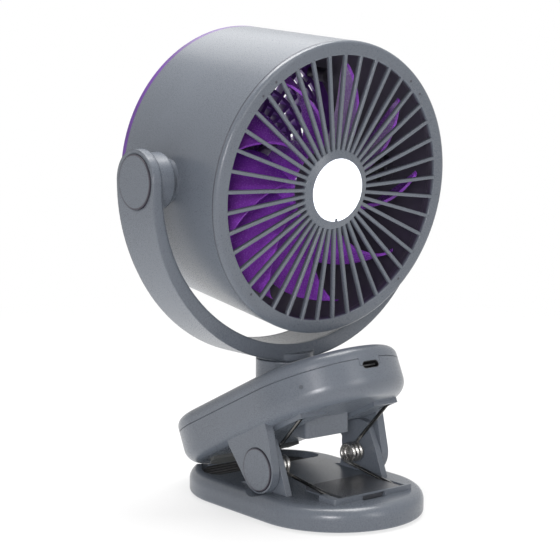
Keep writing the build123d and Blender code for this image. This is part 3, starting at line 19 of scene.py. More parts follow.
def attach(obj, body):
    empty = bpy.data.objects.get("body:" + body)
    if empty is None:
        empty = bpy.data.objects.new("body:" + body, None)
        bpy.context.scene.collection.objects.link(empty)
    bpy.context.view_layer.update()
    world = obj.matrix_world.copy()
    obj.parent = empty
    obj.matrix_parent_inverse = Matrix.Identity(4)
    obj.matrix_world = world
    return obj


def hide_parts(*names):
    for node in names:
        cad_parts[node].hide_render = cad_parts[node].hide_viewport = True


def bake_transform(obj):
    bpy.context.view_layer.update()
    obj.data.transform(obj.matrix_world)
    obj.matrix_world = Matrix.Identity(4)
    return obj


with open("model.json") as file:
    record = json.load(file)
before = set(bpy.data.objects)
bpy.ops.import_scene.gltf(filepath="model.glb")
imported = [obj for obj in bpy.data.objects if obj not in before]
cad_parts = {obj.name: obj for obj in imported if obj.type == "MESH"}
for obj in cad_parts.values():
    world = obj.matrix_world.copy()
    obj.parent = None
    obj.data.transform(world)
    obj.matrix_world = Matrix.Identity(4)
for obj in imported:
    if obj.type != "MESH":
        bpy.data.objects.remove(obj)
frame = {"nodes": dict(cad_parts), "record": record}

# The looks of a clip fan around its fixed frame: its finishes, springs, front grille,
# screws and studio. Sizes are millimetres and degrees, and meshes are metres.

Pair = tuple[float, float]
Triple = tuple[float, float, float]
Values = dict[str | int, Any]

LOG = logging.getLogger("clip_fan")
MM = 0.001
TAU = 2 * math.pi
MERGE_METRES = 1e-7
THIN_METRES = 1e-8
SHARP_ANGLE = 38.0

# ---- Places that several assemblies share ----
PIVOT_HEIGHT = 148.2
HEAD_NOD = 7.0
CASE_SEAM_HEIGHT = 44.4
CASE_TILT = 25.5
CASE_BELOW = 16.2
HINGE_Y = -25.5
HINGE_Z = 21.3
HEAD_FRONT = 37.5
HEAD_REAR = 37.2
HEAD_RADIUS = 65.0
HEAD_REAR_RADIUS = 62.9
RING_SEAM = 34.9
MARK_CIRCLE = 60.85
REAR_SCREW_CIRCLE = 58.5
REAR_SCREW = REAR_SCREW_CIRCLE * math.sqrt(0.5)
CAP_RADIUS = 11.8
HINGE_CAP_RADIUS = 9.6

# The head's frame, with Z forward and X along the tilt axis, and the case's, with Z out of
# its top.
HEAD_TURN = Matrix.Rotation(math.radians(90 + HEAD_NOD), 4, "X")
HEAD_PLACE = Matrix.Translation((0, 0, PIVOT_HEIGHT * MM)) @ HEAD_TURN
CASE_TURN = Matrix.Rotation(math.radians(-CASE_TILT), 4, "X")
CASE_PLACE = Matrix.Translation((0, 0, CASE_SEAM_HEIGHT * MM)) @ CASE_TURN


class Slot(Enum):
    """The finishes of the fan, by the name of their material slot in the record."""

    BODY = "body_plastic"
    PURPLE = "purple_plastic"
    RUBBER = "pad_rubber"
    DARK = "dark_plastic"
    SPRING = "spring_steel"
    SCREW = "screw_steel"
    SOCKET = "socket_steel"
    BOARD = "board"
    SWITCH = "switch_plastic"
    LENS = "lens_plastic"
    CELL = "cell_wrap"
    LEAD = "lead_jacket"
    STEM = "stem_plastic"
    LAMP_BOARD = "lamp_board"
    LED = "led_chip"
    MOTOR = "motor_steel"
    SHAFT = "shaft_steel"
    ROTOR = "rotor_copper"


class Body(Enum):
    """The bodies that move on their own."""

    LOWER_JAW = "lower_jaw"
    UPPER_CASE = "upper_case"
    HEAD = "head"


# ---- Node trees ----
def applied(operation: str, reflected: bool = False) -> Callable[..., "Number"]:
    """A method of Number that adds one Math node.

    Args:
        operation: The node's operation.
        reflected: Whether the other number comes first, as in 1 - number.

    Returns:
        The method.
    """

    def method(self: "Number", *others: "Number | float") -> "Number":
        """Adds the node.

        Args:
            *others: The operation's other numbers, if it has any.

        Returns:
            The node's result.
        """
        values = dict(enumerate((*others, self) if reflected else (self, *others)))
        node = self.graph.node("ShaderNodeMath", values, {"operation": operation})
        return self.graph.number(node)

    return method


@dataclass(frozen=True)
class Number:
    """A socket that carries one number. Sums and products on it add Math nodes."""

    graph: "Graph"
    socket: Socket

    __add__ = __radd__ = applied("ADD")
    __sub__ = applied("SUBTRACT")
    __rsub__ = applied("SUBTRACT", reflected=True)
    __mul__ = __rmul__ = applied("MULTIPLY")
    __truediv__ = applied("DIVIDE")
    least = applied("MINIMUM")
    most = applied("MAXIMUM")
    root = applied("SQRT")
    sine = applied("SINE")
    cosine = applied("COSINE")

    def between(self, low: float, high: float) -> "Number":
        """A smooth step over this number.

        Args:
            low: Where the step is still 0.
            high: Where it has reached 1.

        Returns:
            The step's value.
        """
        values = {0: self, 1: low, 2: high}
        settings = {"interpolation_type": "SMOOTHSTEP"}
        return self.graph.number(self.graph.node("ShaderNodeMapRange", values, settings))


class Graph:
    """A node tree, and the one method that adds nodes to it."""

    def __init__(self, tree: Tree) -> None:
        """Wraps a tree and empties it.

        Args:
            tree: The tree.
        """
        self.tree = tree
        self.tree.nodes.clear()

    def node(self, kind: str, values: Values | None = None, settings: Values | None = None) -> Node:
        """Adds a node.

        Args:
            kind: The node's type.
            values: What its inputs get, as for feed.
            settings: The node's own settings, which are set first.

        Returns:
            The new node.
        """
        node = self.tree.nodes.new(kind)
        for name, value in (settings or {}).items():
            setattr(node, name, value)
        for name, value in (values or {}).items():
            self.feed(node.inputs[name], value)
        return node

    def feed(self, socket: Socket, value: Any) -> None:
        """Links or sets one input.

        Args:
            socket: The input.
            value: A socket, a Number, a node for its first output, or a plain value.
        """
        if isinstance(value, Number):
            value = value.socket
        elif isinstance(value, Node):
            value = value.outputs[0]
        if isinstance(value, Socket):
            self.tree.links.new(value, socket)
        else:
            socket.default_value = value

    def number(self, node: Node, output: int | str = 0) -> Number:
        """One of a node's outputs, as a Number.

        Args:
            node: The node.
            output: The output's place or name.

        Returns:
            The Number.
        """
        return Number(self, node.outputs[output])

    def vector(self, *parts: Number | float) -> Node:
        """A vector of three numbers.

        Args:
            *parts: Its X, Y and Z.

        Returns:
            The node that gives it.
        """
        return self.node("ShaderNodeCombineXYZ", dict(enumerate(parts)))

    def parts(self, vector: Node | Socket) -> tuple[Number, ...]:
        """The three numbers of a vector.

        Args:
            vector: The vector.

        Returns:
            Its X, Y and Z.
        """
        node = self.node("ShaderNodeSeparateXYZ", {0: vector})
        return tuple(Number(self, socket) for socket in node.outputs)


def shade_of(color: Triple, share: float) -> tuple[float, float, float, float]:
    """A colour made lighter or darker.

    Args:
        color: The linear red, green and blue.
        share: What each is multiplied by.

    Returns:
        The new colour, with full alpha.
    """
    return tuple(min(1.0, part * share) for part in color) + (1.0,)


class Surface(Graph):
    """One material's tree: patterns in the piece's own space, which end in one shader."""

    bevel_samples = 4
    edge_span = (0.02, 0.3)

    def __init__(self, name: str) -> None:
        """Makes the material.

        Args:
            name: The material's name.
        """
        self.material = bpy.data.materials.new(name)
        self.material.use_nodes = True
        super().__init__(self.material.node_tree)
        self.place = self.node("ShaderNodeTexCoord").outputs["Object"]

    def mapped(self, location: Sequence[float], turn: Sequence[float] = (0, 0, 0)) -> Node:
        """Object coordinates in a frame of their own, in metres.

        Args:
            location: The frame's origin, in millimetres.
            turn: Its turn about X, Y and Z, in degrees.

        Returns:
            The place in that frame.
        """
        values = {
            "Vector": self.place,
            "Location": [part * MM for part in location],
            "Rotation": [math.radians(part) for part in turn],
        }
        return self.node("ShaderNodeMapping", values, {"vector_type": "TEXTURE"})

    def head_parts(self) -> tuple[Number, ...]:
        """The place in the fan head's frame.

        Returns:
            Its X, Y, Z and distance from the head's axis, in millimetres.
        """
        place = self.mapped((0, 0, PIVOT_HEIGHT), (90 + HEAD_NOD, 0, 0))
        x, y, z = (part / MM for part in self.parts(place))
        return x, y, z, (x * x + y * y).root()

    def noise(self, grain: float, detail: float) -> Number:
        """Cloudy noise from about 0.3 to 0.7.

        Args:
            grain: The size of a cloud, in millimetres.
            detail: How many finer layers are on it.

        Returns:
            The noise.
        """
        values = {"Vector": self.place, "Scale": 1 / (grain * MM), "Detail": detail}
        return self.number(self.node("ShaderNodeTexNoise", values), "Fac")

    def spots(self, grain: float) -> Number:
        """The distance to the nearest of many scattered points.

        Args:
            grain: How far apart the points are, in millimetres.

        Returns:
            The distance, as a share of the grain.
        """
        values = {"Vector": self.place, "Scale": 1 / (grain * MM)}
        return self.number(self.node("ShaderNodeTexVoronoi", values), "Distance")

    def mix(self, share: Any, first: Any, second: Any) -> Socket:
        """A colour between two.

        Args:
            share: 0 for the first and 1 for the second.
            first: A colour or a socket.
            second: A colour or a socket.

        Returns:
            The mixed colour.
        """
        settings = {"data_type": "RGBA", "clamp_factor": True}
        return self.node("ShaderNodeMix", {0: share, 6: first, 7: second}, settings).outputs[2]

    def soft_edges(self, radius: float) -> tuple[Node, Number]:
        """A normal that rounds the sharp edges of a mesh, and where those edges are.

        Args:
            radius: The edges' radius, in millimetres.

        Returns:
            The rounded normal, and a mask that is 1 on an edge.
        """
        settings = {"samples": self.bevel_samples}
        rounded = self.node("ShaderNodeBevel", {"Radius": radius * MM}, settings)
        flat = self.node("ShaderNodeNewGeometry").outputs["Normal"]
        values = {0: rounded, 1: flat}
        along = self.node("ShaderNodeVectorMath", values, {"operation": "DOT_PRODUCT"})
        return rounded, (1 - self.number(along, "Value")).between(*self.edge_span)

    def bump(self, height: Number, depth: float, normal: Node | None = None) -> Node:
        """A normal that follows a height.

        Args:
            height: The height, from 0 to 1.
            depth: What a height of 1 is, in millimetres.
            normal: The normal it starts from, if not the mesh's own.

        Returns:
            The new normal.
        """
        values = {"Strength": 1.0, "Distance": depth * MM, "Height": height}
        if normal is not None:
            values["Normal"] = normal
        return self.node("ShaderNodeBump", values)

    def close(self, values: Values) -> Material:
        """Ends the tree in a Principled shader.

        Args:
            values: What its inputs get.

        Returns:
            The finished material.
        """
        shader = self.node("ShaderNodeBsdfPrincipled", values)
        self.node("ShaderNodeOutputMaterial", {0: shader})
        return self.material


# ---- Finishes ----
class Zone(Enum):
    """Where a moulded piece is dark: the drum's dark inner wall, and painted shade on the grille.
    """

    NONE = "all one colour"
    DRUM = "dark within the drum's wall"
    # The grille's darkness is painted shade in its recesses and seam.
    GRILLE = "dark behind the front grille's bars"


# Where moulded pieces fade to painted shade, in millimetres: under a cap's radius, for the shade in
# the groove round it; behind the grille's face; at the radius where its ring starts; in front of
# RING_SEAM, for the shade in the seam; and in a dimple by area over pi, for its shade. Then the
# drum's dark inner wall and the blur of its edge.
CAP_GROOVE_SHADE = (0.7, 0.5)
BAR_SHADE = (2.2, 0.6)
RING_INSIDE = (59.6, 60.0)
SEAM_SHADE = (0.3, 0.5)
DIMPLE_SHADE_AREA = (0.25, 0.5)
DRUM_WALL = 1.1
WALL_SPAN = 0.2


@dataclass(frozen=True)
class Finish:
    """What all finishes share: a colour with two tones, and soft edges that are lighter, partly
    from wear and partly as a painted highlight.
    """

    name: str
    color: Triple
    roughness: float = 0.3
    tones: Pair = (1.0, 1.0)
    edge: float = 0.3
    edge_wear_and_highlight_share: float = 0.3
    edge_wear_and_highlight_lift: float = 2.0

    def toned(self, surface: Surface, tone: Number) -> tuple[Socket, Node, Number]:
        """The two tones with the lighter edges, partly wear and partly a painted highlight.

        Args:
            surface: The tree.
            tone: 0 for the first tone and 1 for the second.

        Returns:
            The colour, the normal that rounds the edges, and the edges' mask.
        """
        normal, edge = surface.soft_edges(self.edge)
        color = surface.mix(tone, *(shade_of(self.color, share) for share in self.tones))
        # Paler edges: partly wear, partly a painted highlight.
        lighter = shade_of(self.color, self.edge_wear_and_highlight_lift)
        return surface.mix(edge * self.edge_wear_and_highlight_share, color, lighter), normal, edge

    def material(self) -> Material:
        """Makes the material at its first use.

        Returns:
            The material.
        """
        raise NotImplementedError

    def dress(self, piece: Piece) -> None:
        """Gives a piece this finish.

        Args:
            piece: The piece.
        """
        if not piece.data.materials:
            piece.data.materials.append(self.material())
        for slot in piece.material_slots:
            slot.material = self.material()


@dataclass(frozen=True)
class MouldedPlastic(Finish):
    """Satin moulded plastic with a fine spark-eroded grain."""

    roughness: float = 0.29
    tones: Pair = (0.94, 1.06)
    edge: float = 0.35
    edge_wear_and_highlight_share: float = 0.35
    edge_wear_and_highlight_lift: float = 1.5
    edge_gloss: float = 0.06
    ior: float = 1.49
    cloud: float = 38.0
    cloud_span: Pair = (0.25, 0.75)
    cloud_share: float = 0.6
    cloud_gloss: float = 0.1
    grain: float = 0.35
    grain_span: Pair = (0.3, 0.7)
    grain_depth: float = 0.008
    grain_gloss: float = 0.22
    zone: Zone = Zone.NONE
    # The drum's dark inner wall, and the colour of painted shade at cap rims, on the grille's
    # recessed faces, in its seam and in its dimples.
    inner_and_shade: Triple = (0.03, 0.027, 0.038)
    inside_dull: float = 0.12
    # Angles of dimples on the ring, drawn only as painted shade.
    dimple_shades: tuple[float, ...] = ()
    # A cap's rim, beyond which the groove round the cap gets painted shade.
    rim: Triple | None = None

    @cache
    def material(self) -> Material:
        """Makes the material at its first use.

        Returns:
            The material.
        """
        surface = Surface(self.name)
        cloud = surface.noise(self.cloud, detail=3.0)
        grain = surface.noise(self.grain, detail=1.0)
        tone = cloud.between(*self.cloud_span) * self.cloud_share
        tone = tone + grain.between(*self.grain_span) * (1 - self.cloud_share)
        color, normal, edge = self.toned(surface, tone)
        roughness = self.roughness + (grain - 0.5) * self.grain_gloss
        roughness = roughness + (cloud - 0.5) * self.cloud_gloss - edge * self.edge_gloss
        # Painted shade, and the drum's dark inner wall.
        mask = self.inner_and_shade_mask(surface)
        if mask is not None:
            color = surface.mix(mask, color, shade_of(self.inner_and_shade, 1.0))
            roughness = roughness + mask * self.inside_dull
        normal = surface.bump(grain, self.grain_depth, normal)
        values = {"Base Color": color, "Roughness": roughness, "Normal": normal, "IOR": self.ior}
        return surface.close(values)

    def inner_and_shade_mask(self, surface: Surface) -> Number | None:
        """The mask of the painted shade and of the drum's dark inner wall.

        Args:
            surface: The tree.

        Returns:
            A number that is 1 where it is dark, or None on a piece of one colour.
        """
        # Painted shade in the groove round a cap.
        if self.rim is not None:
            across, up, radius = self.rim
            _, y, z = surface.parts(surface.mapped((0, across, up)))
            return ((y * y + z * z).root() / MM).between(*(radius - inset for inset in CAP_GROOVE_SHADE))
        if self.zone is Zone.NONE:
            return None
        x, y, z, radius = surface.head_parts()
        if self.zone is Zone.GRILLE:
            return self.grille_mask(x, y, z, radius)
        slope = (HEAD_RADIUS - HEAD_REAR_RADIUS) / (HEAD_FRONT + HEAD_REAR)
        inner = HEAD_REAR_RADIUS + HEAD_REAR * slope - DRUM_WALL
        return 1 - (radius - z * slope - inner).between(-WALL_SPAN, WALL_SPAN)

    def grille_mask(self, x: Number, y: Number, z: Number, radius: Number) -> Number:
        """Painted shade behind the bars' faces and in the seam behind the ring, and in six small
        dimples.

        Args:
            x: The place along the tilt axis, in millimetres.
            y: The place up from it.
            z: The place in front of it.
            radius: The distance from Z.

        Returns:
            The mask.
        """
        # Painted shade on the faces behind the grille's front, and in the seam.
        behind = 1 - z.between(*(HEAD_FRONT - depth for depth in BAR_SHADE))
        mask = behind * (1 - radius.between(*RING_INSIDE))
        mask = mask.most(1 - z.between(*(RING_SEAM + rise for rise in SEAM_SHADE)))
        # Painted shade in each dimple on the ring.
        for dimple in self.dimple_shades:
            across = x - MARK_CIRCLE * math.cos(math.radians(dimple))
            up = y - MARK_CIRCLE * math.sin(math.radians(dimple))
            mask = mask.most(1 - (across * across + up * up).between(*DIMPLE_SHADE_AREA))
        return mask


@dataclass(frozen=True)
class PearlPlastic(Finish):
    """Glossy purple plastic with fine pearl flecks in it, painted paler as glints."""

    roughness: float = 0.24
    tones: Pair = (0.72, 1.3)
    edge_wear_and_highlight_lift: float = 2.2
    cloud: float = 14.0
    cloud_span: Pair = (0.3, 0.7)
    cloud_share: float = 0.7
    pearl: float = 0.55
    pearl_span: Pair = (0.35, 0.65)
    pearl_depth: float = 0.01
    pearl_gloss: float = 0.3
    fleck_spacing: float = 1.6
    fleck_span: Pair = (0.05, 0.35)
    fleck_glint_share: float = 0.14
    fleck_glint_lift: float = 2.6

    @cache
    def material(self) -> Material:
        """Makes the material at its first use.

        Returns:
            The material.
        """
        surface = Surface(self.name)
        cloud = surface.noise(self.cloud, detail=4.0)
        pearl = surface.noise(self.pearl, detail=2.0)
        fleck_glint = 1 - surface.spots(self.pearl * self.fleck_spacing).between(*self.fleck_span)
        tone = cloud.between(*self.cloud_span) * self.cloud_share
        tone = tone + pearl.between(*self.pearl_span) * (1 - self.cloud_share)
        normal, edge = surface.soft_edges(self.edge)
        color = surface.mix(tone, *(shade_of(self.color, share) for share in self.tones))
        # The flecks are painted glints.
        color = surface.mix(fleck_glint * self.fleck_glint_share, color, shade_of(self.color, self.fleck_glint_lift))
        color = surface.mix(edge * self.edge_wear_and_highlight_share, color, shade_of(self.color, self.edge_wear_and_highlight_lift))
        roughness = self.roughness + (pearl - 0.5) * self.pearl_gloss
        normal = surface.bump(pearl, self.pearl_depth, normal)
        return surface.close({"Base Color": color, "Roughness": roughness, "Normal": normal})


@dataclass(frozen=True)
class Rubber(Finish):
    """Dull moulded rubber with a fine stipple and a little dust in it."""

    roughness: float = 0.78
    tones: Pair = (0.85, 1.8)
    edge: float = 0.25
    edge_wear_and_highlight_lift: float = 2.4
    stipple: float = 0.5
    stipple_depth: float = 0.05
    stipple_gloss: float = 0.2
    dust: float = 9.0
    dust_span: Pair = (0.45, 0.75)
    dust_share: float = 0.4

    @cache
    def material(self) -> Material:
        """Makes the material at its first use.

        Returns:
            The material.
        """
        surface = Surface(self.name)
        stipple = surface.noise(self.stipple, detail=1.0)
        dust = surface.noise(self.dust, detail=5.0).between(*self.dust_span)
        color, normal, _ = self.toned(surface, dust * self.dust_share)
        roughness = self.roughness + (stipple - 0.5) * self.stipple_gloss
        normal = surface.bump(stipple, self.stipple_depth, normal)
        return surface.close({"Base Color": color, "Roughness": roughness, "Normal": normal})


@dataclass(frozen=True)
class Steel(Finish):
    """Metal with fine draw lines and patches of duller plating.

    A spring has a coil_reach: its legs, further than that from the hinge, are plain and painted
    darker, as painted shade.
    """

    tones: Pair = (1.15, 0.5)
    edge: float = 0.15
    edge_wear_and_highlight_share: float = 0.4
    edge_wear_and_highlight_lift: float = 1.6
    line: float = 0.25
    line_depth: float = 0.006
    line_gloss: float = 0.25
    patch: float = 3.5
    patch_span: Pair = (0.35, 0.7)
    patch_dull: float = 0.12
    coil_reach: float = 0.0
    coil_fade: float = 3.0
    leg_shade: float = 0.34

    @cache
    def material(self) -> Material:
        """Makes the material at its first use.

        Returns:
            The material.
        """
        surface = Surface(self.name)
        lines = surface.noise(self.line, detail=1.0)
        tone = surface.noise(self.patch, detail=4.0).between(*self.patch_span)
        leg = None
        if self.coil_reach:
            _, y, z = surface.parts(surface.mapped((0, HINGE_Y, HINGE_Z)))
            reach = (y * y + z * z).root() / MM
            leg = reach.between(self.coil_reach, self.coil_reach + self.coil_fade)
            tone = tone * (1 - leg)
        color, normal, _ = self.toned(surface, tone)
        if leg is not None:
            # Painted shade on the legs.
            color = surface.mix(leg, color, shade_of(self.color, self.leg_shade))
        roughness = self.roughness + (lines - 0.5) * self.line_gloss + tone * self.patch_dull
        normal = surface.bump(lines, self.line_depth, normal)
        values = {"Base Color": color, "Roughness": roughness, "Normal": normal, "Metallic": 1.0}
        return surface.close(values)


@dataclass(frozen=True)
class MilkLens(Finish):
    """Milk-white plastic that its lamp lights from behind, a little dimmer at its rim."""

    tones: Pair = (0.97, 1.03)
    glow: float = 1.0
    middle_light: Triple = (1.0, 1.0, 1.0)
    rim_light: Triple = (0.72, 0.76, 0.86)
    rim_span: Pair = (0.86, 1.02)
    radius: float = 13.9
    milk: float = 2.0
    milk_gloss: float = 0.1
    milk_depth: float = 0.01

    @cache
    def material(self) -> Material:
        """Makes the material at its first use.

        Returns:
            The material.
        """
        surface = Surface(self.name)
        *_, radius = surface.head_parts()
        rim = (radius / self.radius).between(*self.rim_span)
        milk = surface.noise(self.milk, detail=3.0)
        glow = surface.mix(rim, shade_of(self.middle_light, 1.0), shade_of(self.rim_light, 1.0))
        values = {
            "Base Color": surface.mix(milk, *(shade_of(self.color, part) for part in self.tones)),
            "Roughness": self.roughness + (milk - 0.5) * self.milk_gloss,
            "Emission Color": glow,
            "Emission Strength": self.glow,
            "Normal": surface.bump(milk, self.milk_depth),
        }
        return surface.close(values)


BODY_COLOR = (0.096, 0.109, 0.13)
PURPLE_COLOR = (0.19, 0.042, 0.36)
FINISHES: dict[Slot, Finish] = {
    Slot.BODY: MouldedPlastic("blue_grey_plastic", BODY_COLOR),
    Slot.PURPLE: PearlPlastic("purple_pearl_plastic", PURPLE_COLOR),
    Slot.RUBBER: Rubber("pad_rubber", (0.07, 0.07, 0.072)),
    Slot.DARK: MouldedPlastic("dark_grey_plastic", (0.048, 0.051, 0.058), roughness=0.28),
    Slot.SPRING: Steel(
        "spring_wire", (0.5, 0.49, 0.47), roughness=0.22, tones=(1.15, 0.75), coil_reach=5.4
    ),
    Slot.SCREW: Steel("zinc_plate", (0.5, 0.5, 0.5)),
    Slot.SOCKET: Steel("socket_shell", (0.06, 0.06, 0.062), roughness=0.4),
    Slot.BOARD: MouldedPlastic("board_lacquer", (0.02, 0.12, 0.05), roughness=0.3),
    Slot.SWITCH: MouldedPlastic("switch_plastic", (0.03, 0.03, 0.03)),
    Slot.LENS: MilkLens("milk_lens", (0.87, 0.88, 0.9)),
    Slot.CELL: MouldedPlastic("cell_wrap", (0.06, 0.25, 0.45), roughness=0.25),
    Slot.LEAD: Rubber("lead_jacket", (0.02, 0.02, 0.02), roughness=0.5),
    Slot.STEM: MouldedPlastic("stem_plastic", (0.05, 0.05, 0.052)),
    Slot.LAMP_BOARD: MouldedPlastic("lamp_board", (0.8, 0.8, 0.8), roughness=0.35),
    Slot.LED: MouldedPlastic("led_phosphor", (0.85, 0.7, 0.25), roughness=0.3),
    Slot.MOTOR: Steel("motor_steel", (0.5, 0.5, 0.5), roughness=0.34),
    Slot.SHAFT: Steel("ground_steel", (0.6, 0.6, 0.6), roughness=0.2),
    Slot.ROTOR: Steel("rotor_copper", (0.45, 0.18, 0.08), roughness=0.35),
}

# The caps carry painted shade in the groove round their rims.
HINGE_RIM = (HINGE_Y, HINGE_Z, HINGE_CAP_RADIUS)
HINGE_CAP = MouldedPlastic("hinge_cap_plastic", BODY_COLOR, rim=HINGE_RIM)
PIVOT_RIM = (0.0, PIVOT_HEIGHT, CAP_RADIUS)
PIVOT_CAP = MouldedPlastic("pivot_cap_plastic", BODY_COLOR, rim=PIVOT_RIM)
DARK_STEEL = Steel("dark_steel", (0.1, 0.1, 0.1), roughness=0.4)
# The ring's dimples, whose shade is painted.
RING_DIMPLE_SHADES = (43.0, 51.0, 129.0, 137.0, 225.5, 314.5)
GRILLE_PLASTIC = MouldedPlastic("grille_plastic", BODY_COLOR, zone=Zone.GRILLE, dimple_shades=RING_DIMPLE_SHADES)
# The nodes whose finish isn't their slot's own.
NODE_FINISHES: dict[str, Finish] = {
    "drum_housing": MouldedPlastic("drum_plastic", BODY_COLOR, zone=Zone.DRUM),
    "yoke_frame": MouldedPlastic("yoke_plastic", BODY_COLOR, edge=1.6),
    **dict.fromkeys(("left_hinge_cap", "right_hinge_cap"), HINGE_CAP),
    **dict.fromkeys(("left_pivot_cap", "right_pivot_cap"), PIVOT_CAP),
    **dict.fromkeys(("left_pivot_bolt", "right_pivot_bolt", "pivot_nuts"), DARK_STEEL),
    # The rear grille is a darker copy of the purple, as painted shade.
    "rear_grille": PearlPlastic("rear_grille_plastic", (0.075, 0.018, 0.17), roughness=0.38),
    # The motor cup is a near-black copy of the purple, as painted shade deep in the drum.
    "motor_cup": PearlPlastic("motor_cup_plastic", (0.03, 0.008, 0.06)),
    "indicator_light": MouldedPlastic("indicator_plastic", (0.055, 0.062, 0.075), roughness=0.3),
    "upper_jaw_pad": Rubber("upper_pad_rubber", (0.085, 0.09, 0.09)),
    "lower_jaw_pad": Rubber("ribbed_pad_rubber", (0.055, 0.055, 0.057)),
}


def dress_nodes() -> None:
    """Gives every node of the frame its own finish, or else its slot's."""
    for part in frame["record"]["subparts"]:
        slot_finish = FINISHES[Slot(part["material_slot"])]
        NODE_FINISHES.get(part["node"], slot_finish).dress(frame["nodes"][part["node"]])


def stand_in(piece: Piece, node: str, finish: Finish) -> None:
    """Gives a new piece its finish and hides the node that it stands for.

    Args:
        piece: The new piece.
        node: The node.
        finish: Its finish.
    """
    finish.dress(piece)
    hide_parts(node)


# ---- Meshes ----
def added(name: str, data: Any) -> Piece:
    """Puts a new object in the scene.

    Args:
        name: Its name.
        data: Its mesh, lamp or camera.

    Returns:
        The object.
    """
    piece = bpy.data.objects.new(name, data)
    bpy.context.scene.collection.objects.link(piece)
    return piece


def eased(corners: Sequence[Triple], steps: int = 5) -> list[Pair]:
    """An outline whose corners are rounded.

    Args:
        corners: Each corner's two coordinates and its radius.
        steps: How many edges a rounded corner has.

    Returns:
        The points of the closed outline.
    """
    points = []
    for index, (x, y, radius) in enumerate(corners):
        corner = Vector((x, y))
        if radius <= 0:
            points.append((x, y))
            continue
        before = Vector(corners[index - 1][:2]) - corner
        after = Vector(corners[(index + 1) % len(corners)][:2]) - corner
        start = corner + before.normalized() * radius
        end = corner + after.normalized() * radius
        for step in range(steps + 1):
            share = step / steps
            place = start * (1 - share) ** 2 + corner * 2 * share * (1 - share) + end * share**2
            points.append((place.x, place.y))
    return points


def lathe(outline: Sequence[Pair], steps: int = 144) -> Mesh:
    """A closed outline turned about Z.

    Args:
        outline: Its (radius, height) points, in millimetres.
        steps: How many facets the turn has.

    Returns:
        The mesh, in metres.
    """
    made = bmesh.new()
    rings = []
    for step in range(steps):
        angle = TAU * step / steps
        ring = [
            made.verts.new((r * math.cos(angle) * MM, r * math.sin(angle) * MM, z * MM))
            for r, z in outline
        ]
        rings.append(ring)
    for ring, other in zip(rings, rings[1:] + rings[:1]):
        for face in zip(ring, other, other[1:] + other[:1], ring[1:] + ring[:1]):
            made.faces.new(face)
    mesh = bpy.data.meshes.new("lathe")
    made.to_mesh(mesh)
    made.free()
    return mesh


def piece_of(name: str, meshes: Sequence[Mesh], place: Matrix | None = None) -> Piece:
    """One piece from several meshes, with merged points and outward faces.

    Args:
        name: The piece's name.
        meshes: Its meshes, in metres, which are used up.
        place: Where they are put, if they aren't in place.

    Returns:
        The new object, at the origin.
    """
    made = bmesh.new()
    for mesh in meshes:
        made.from_mesh(mesh)
        bpy.data.meshes.remove(mesh)
    bmesh.ops.remove_doubles(made, verts=made.verts, dist=MERGE_METRES)
    bmesh.ops.dissolve_degenerate(made, edges=made.edges, dist=THIN_METRES)
    bmesh.ops.recalc_face_normals(made, faces=made.faces)
    if place is not None:
        made.transform(place)
    mesh = bpy.data.meshes.new(name)
    made.to_mesh(mesh)
    made.free()
    mesh.shade_smooth()
    mesh.set_sharp_from_angle(angle=math.radians(SHARP_ANGLE))
    return added(name, mesh)


def metres(item: Any, *names: str) -> dict[str, float]:
    """Some of an assembly's sizes, as inputs of its tree.

    Args:
        item: The assembly.
        *names: The fields, in millimetres.

    Returns:
        Each field's size in metres, by its name in words.
    """
    return {name.replace("_", " ").title(): getattr(item, name) * MM for name in names}


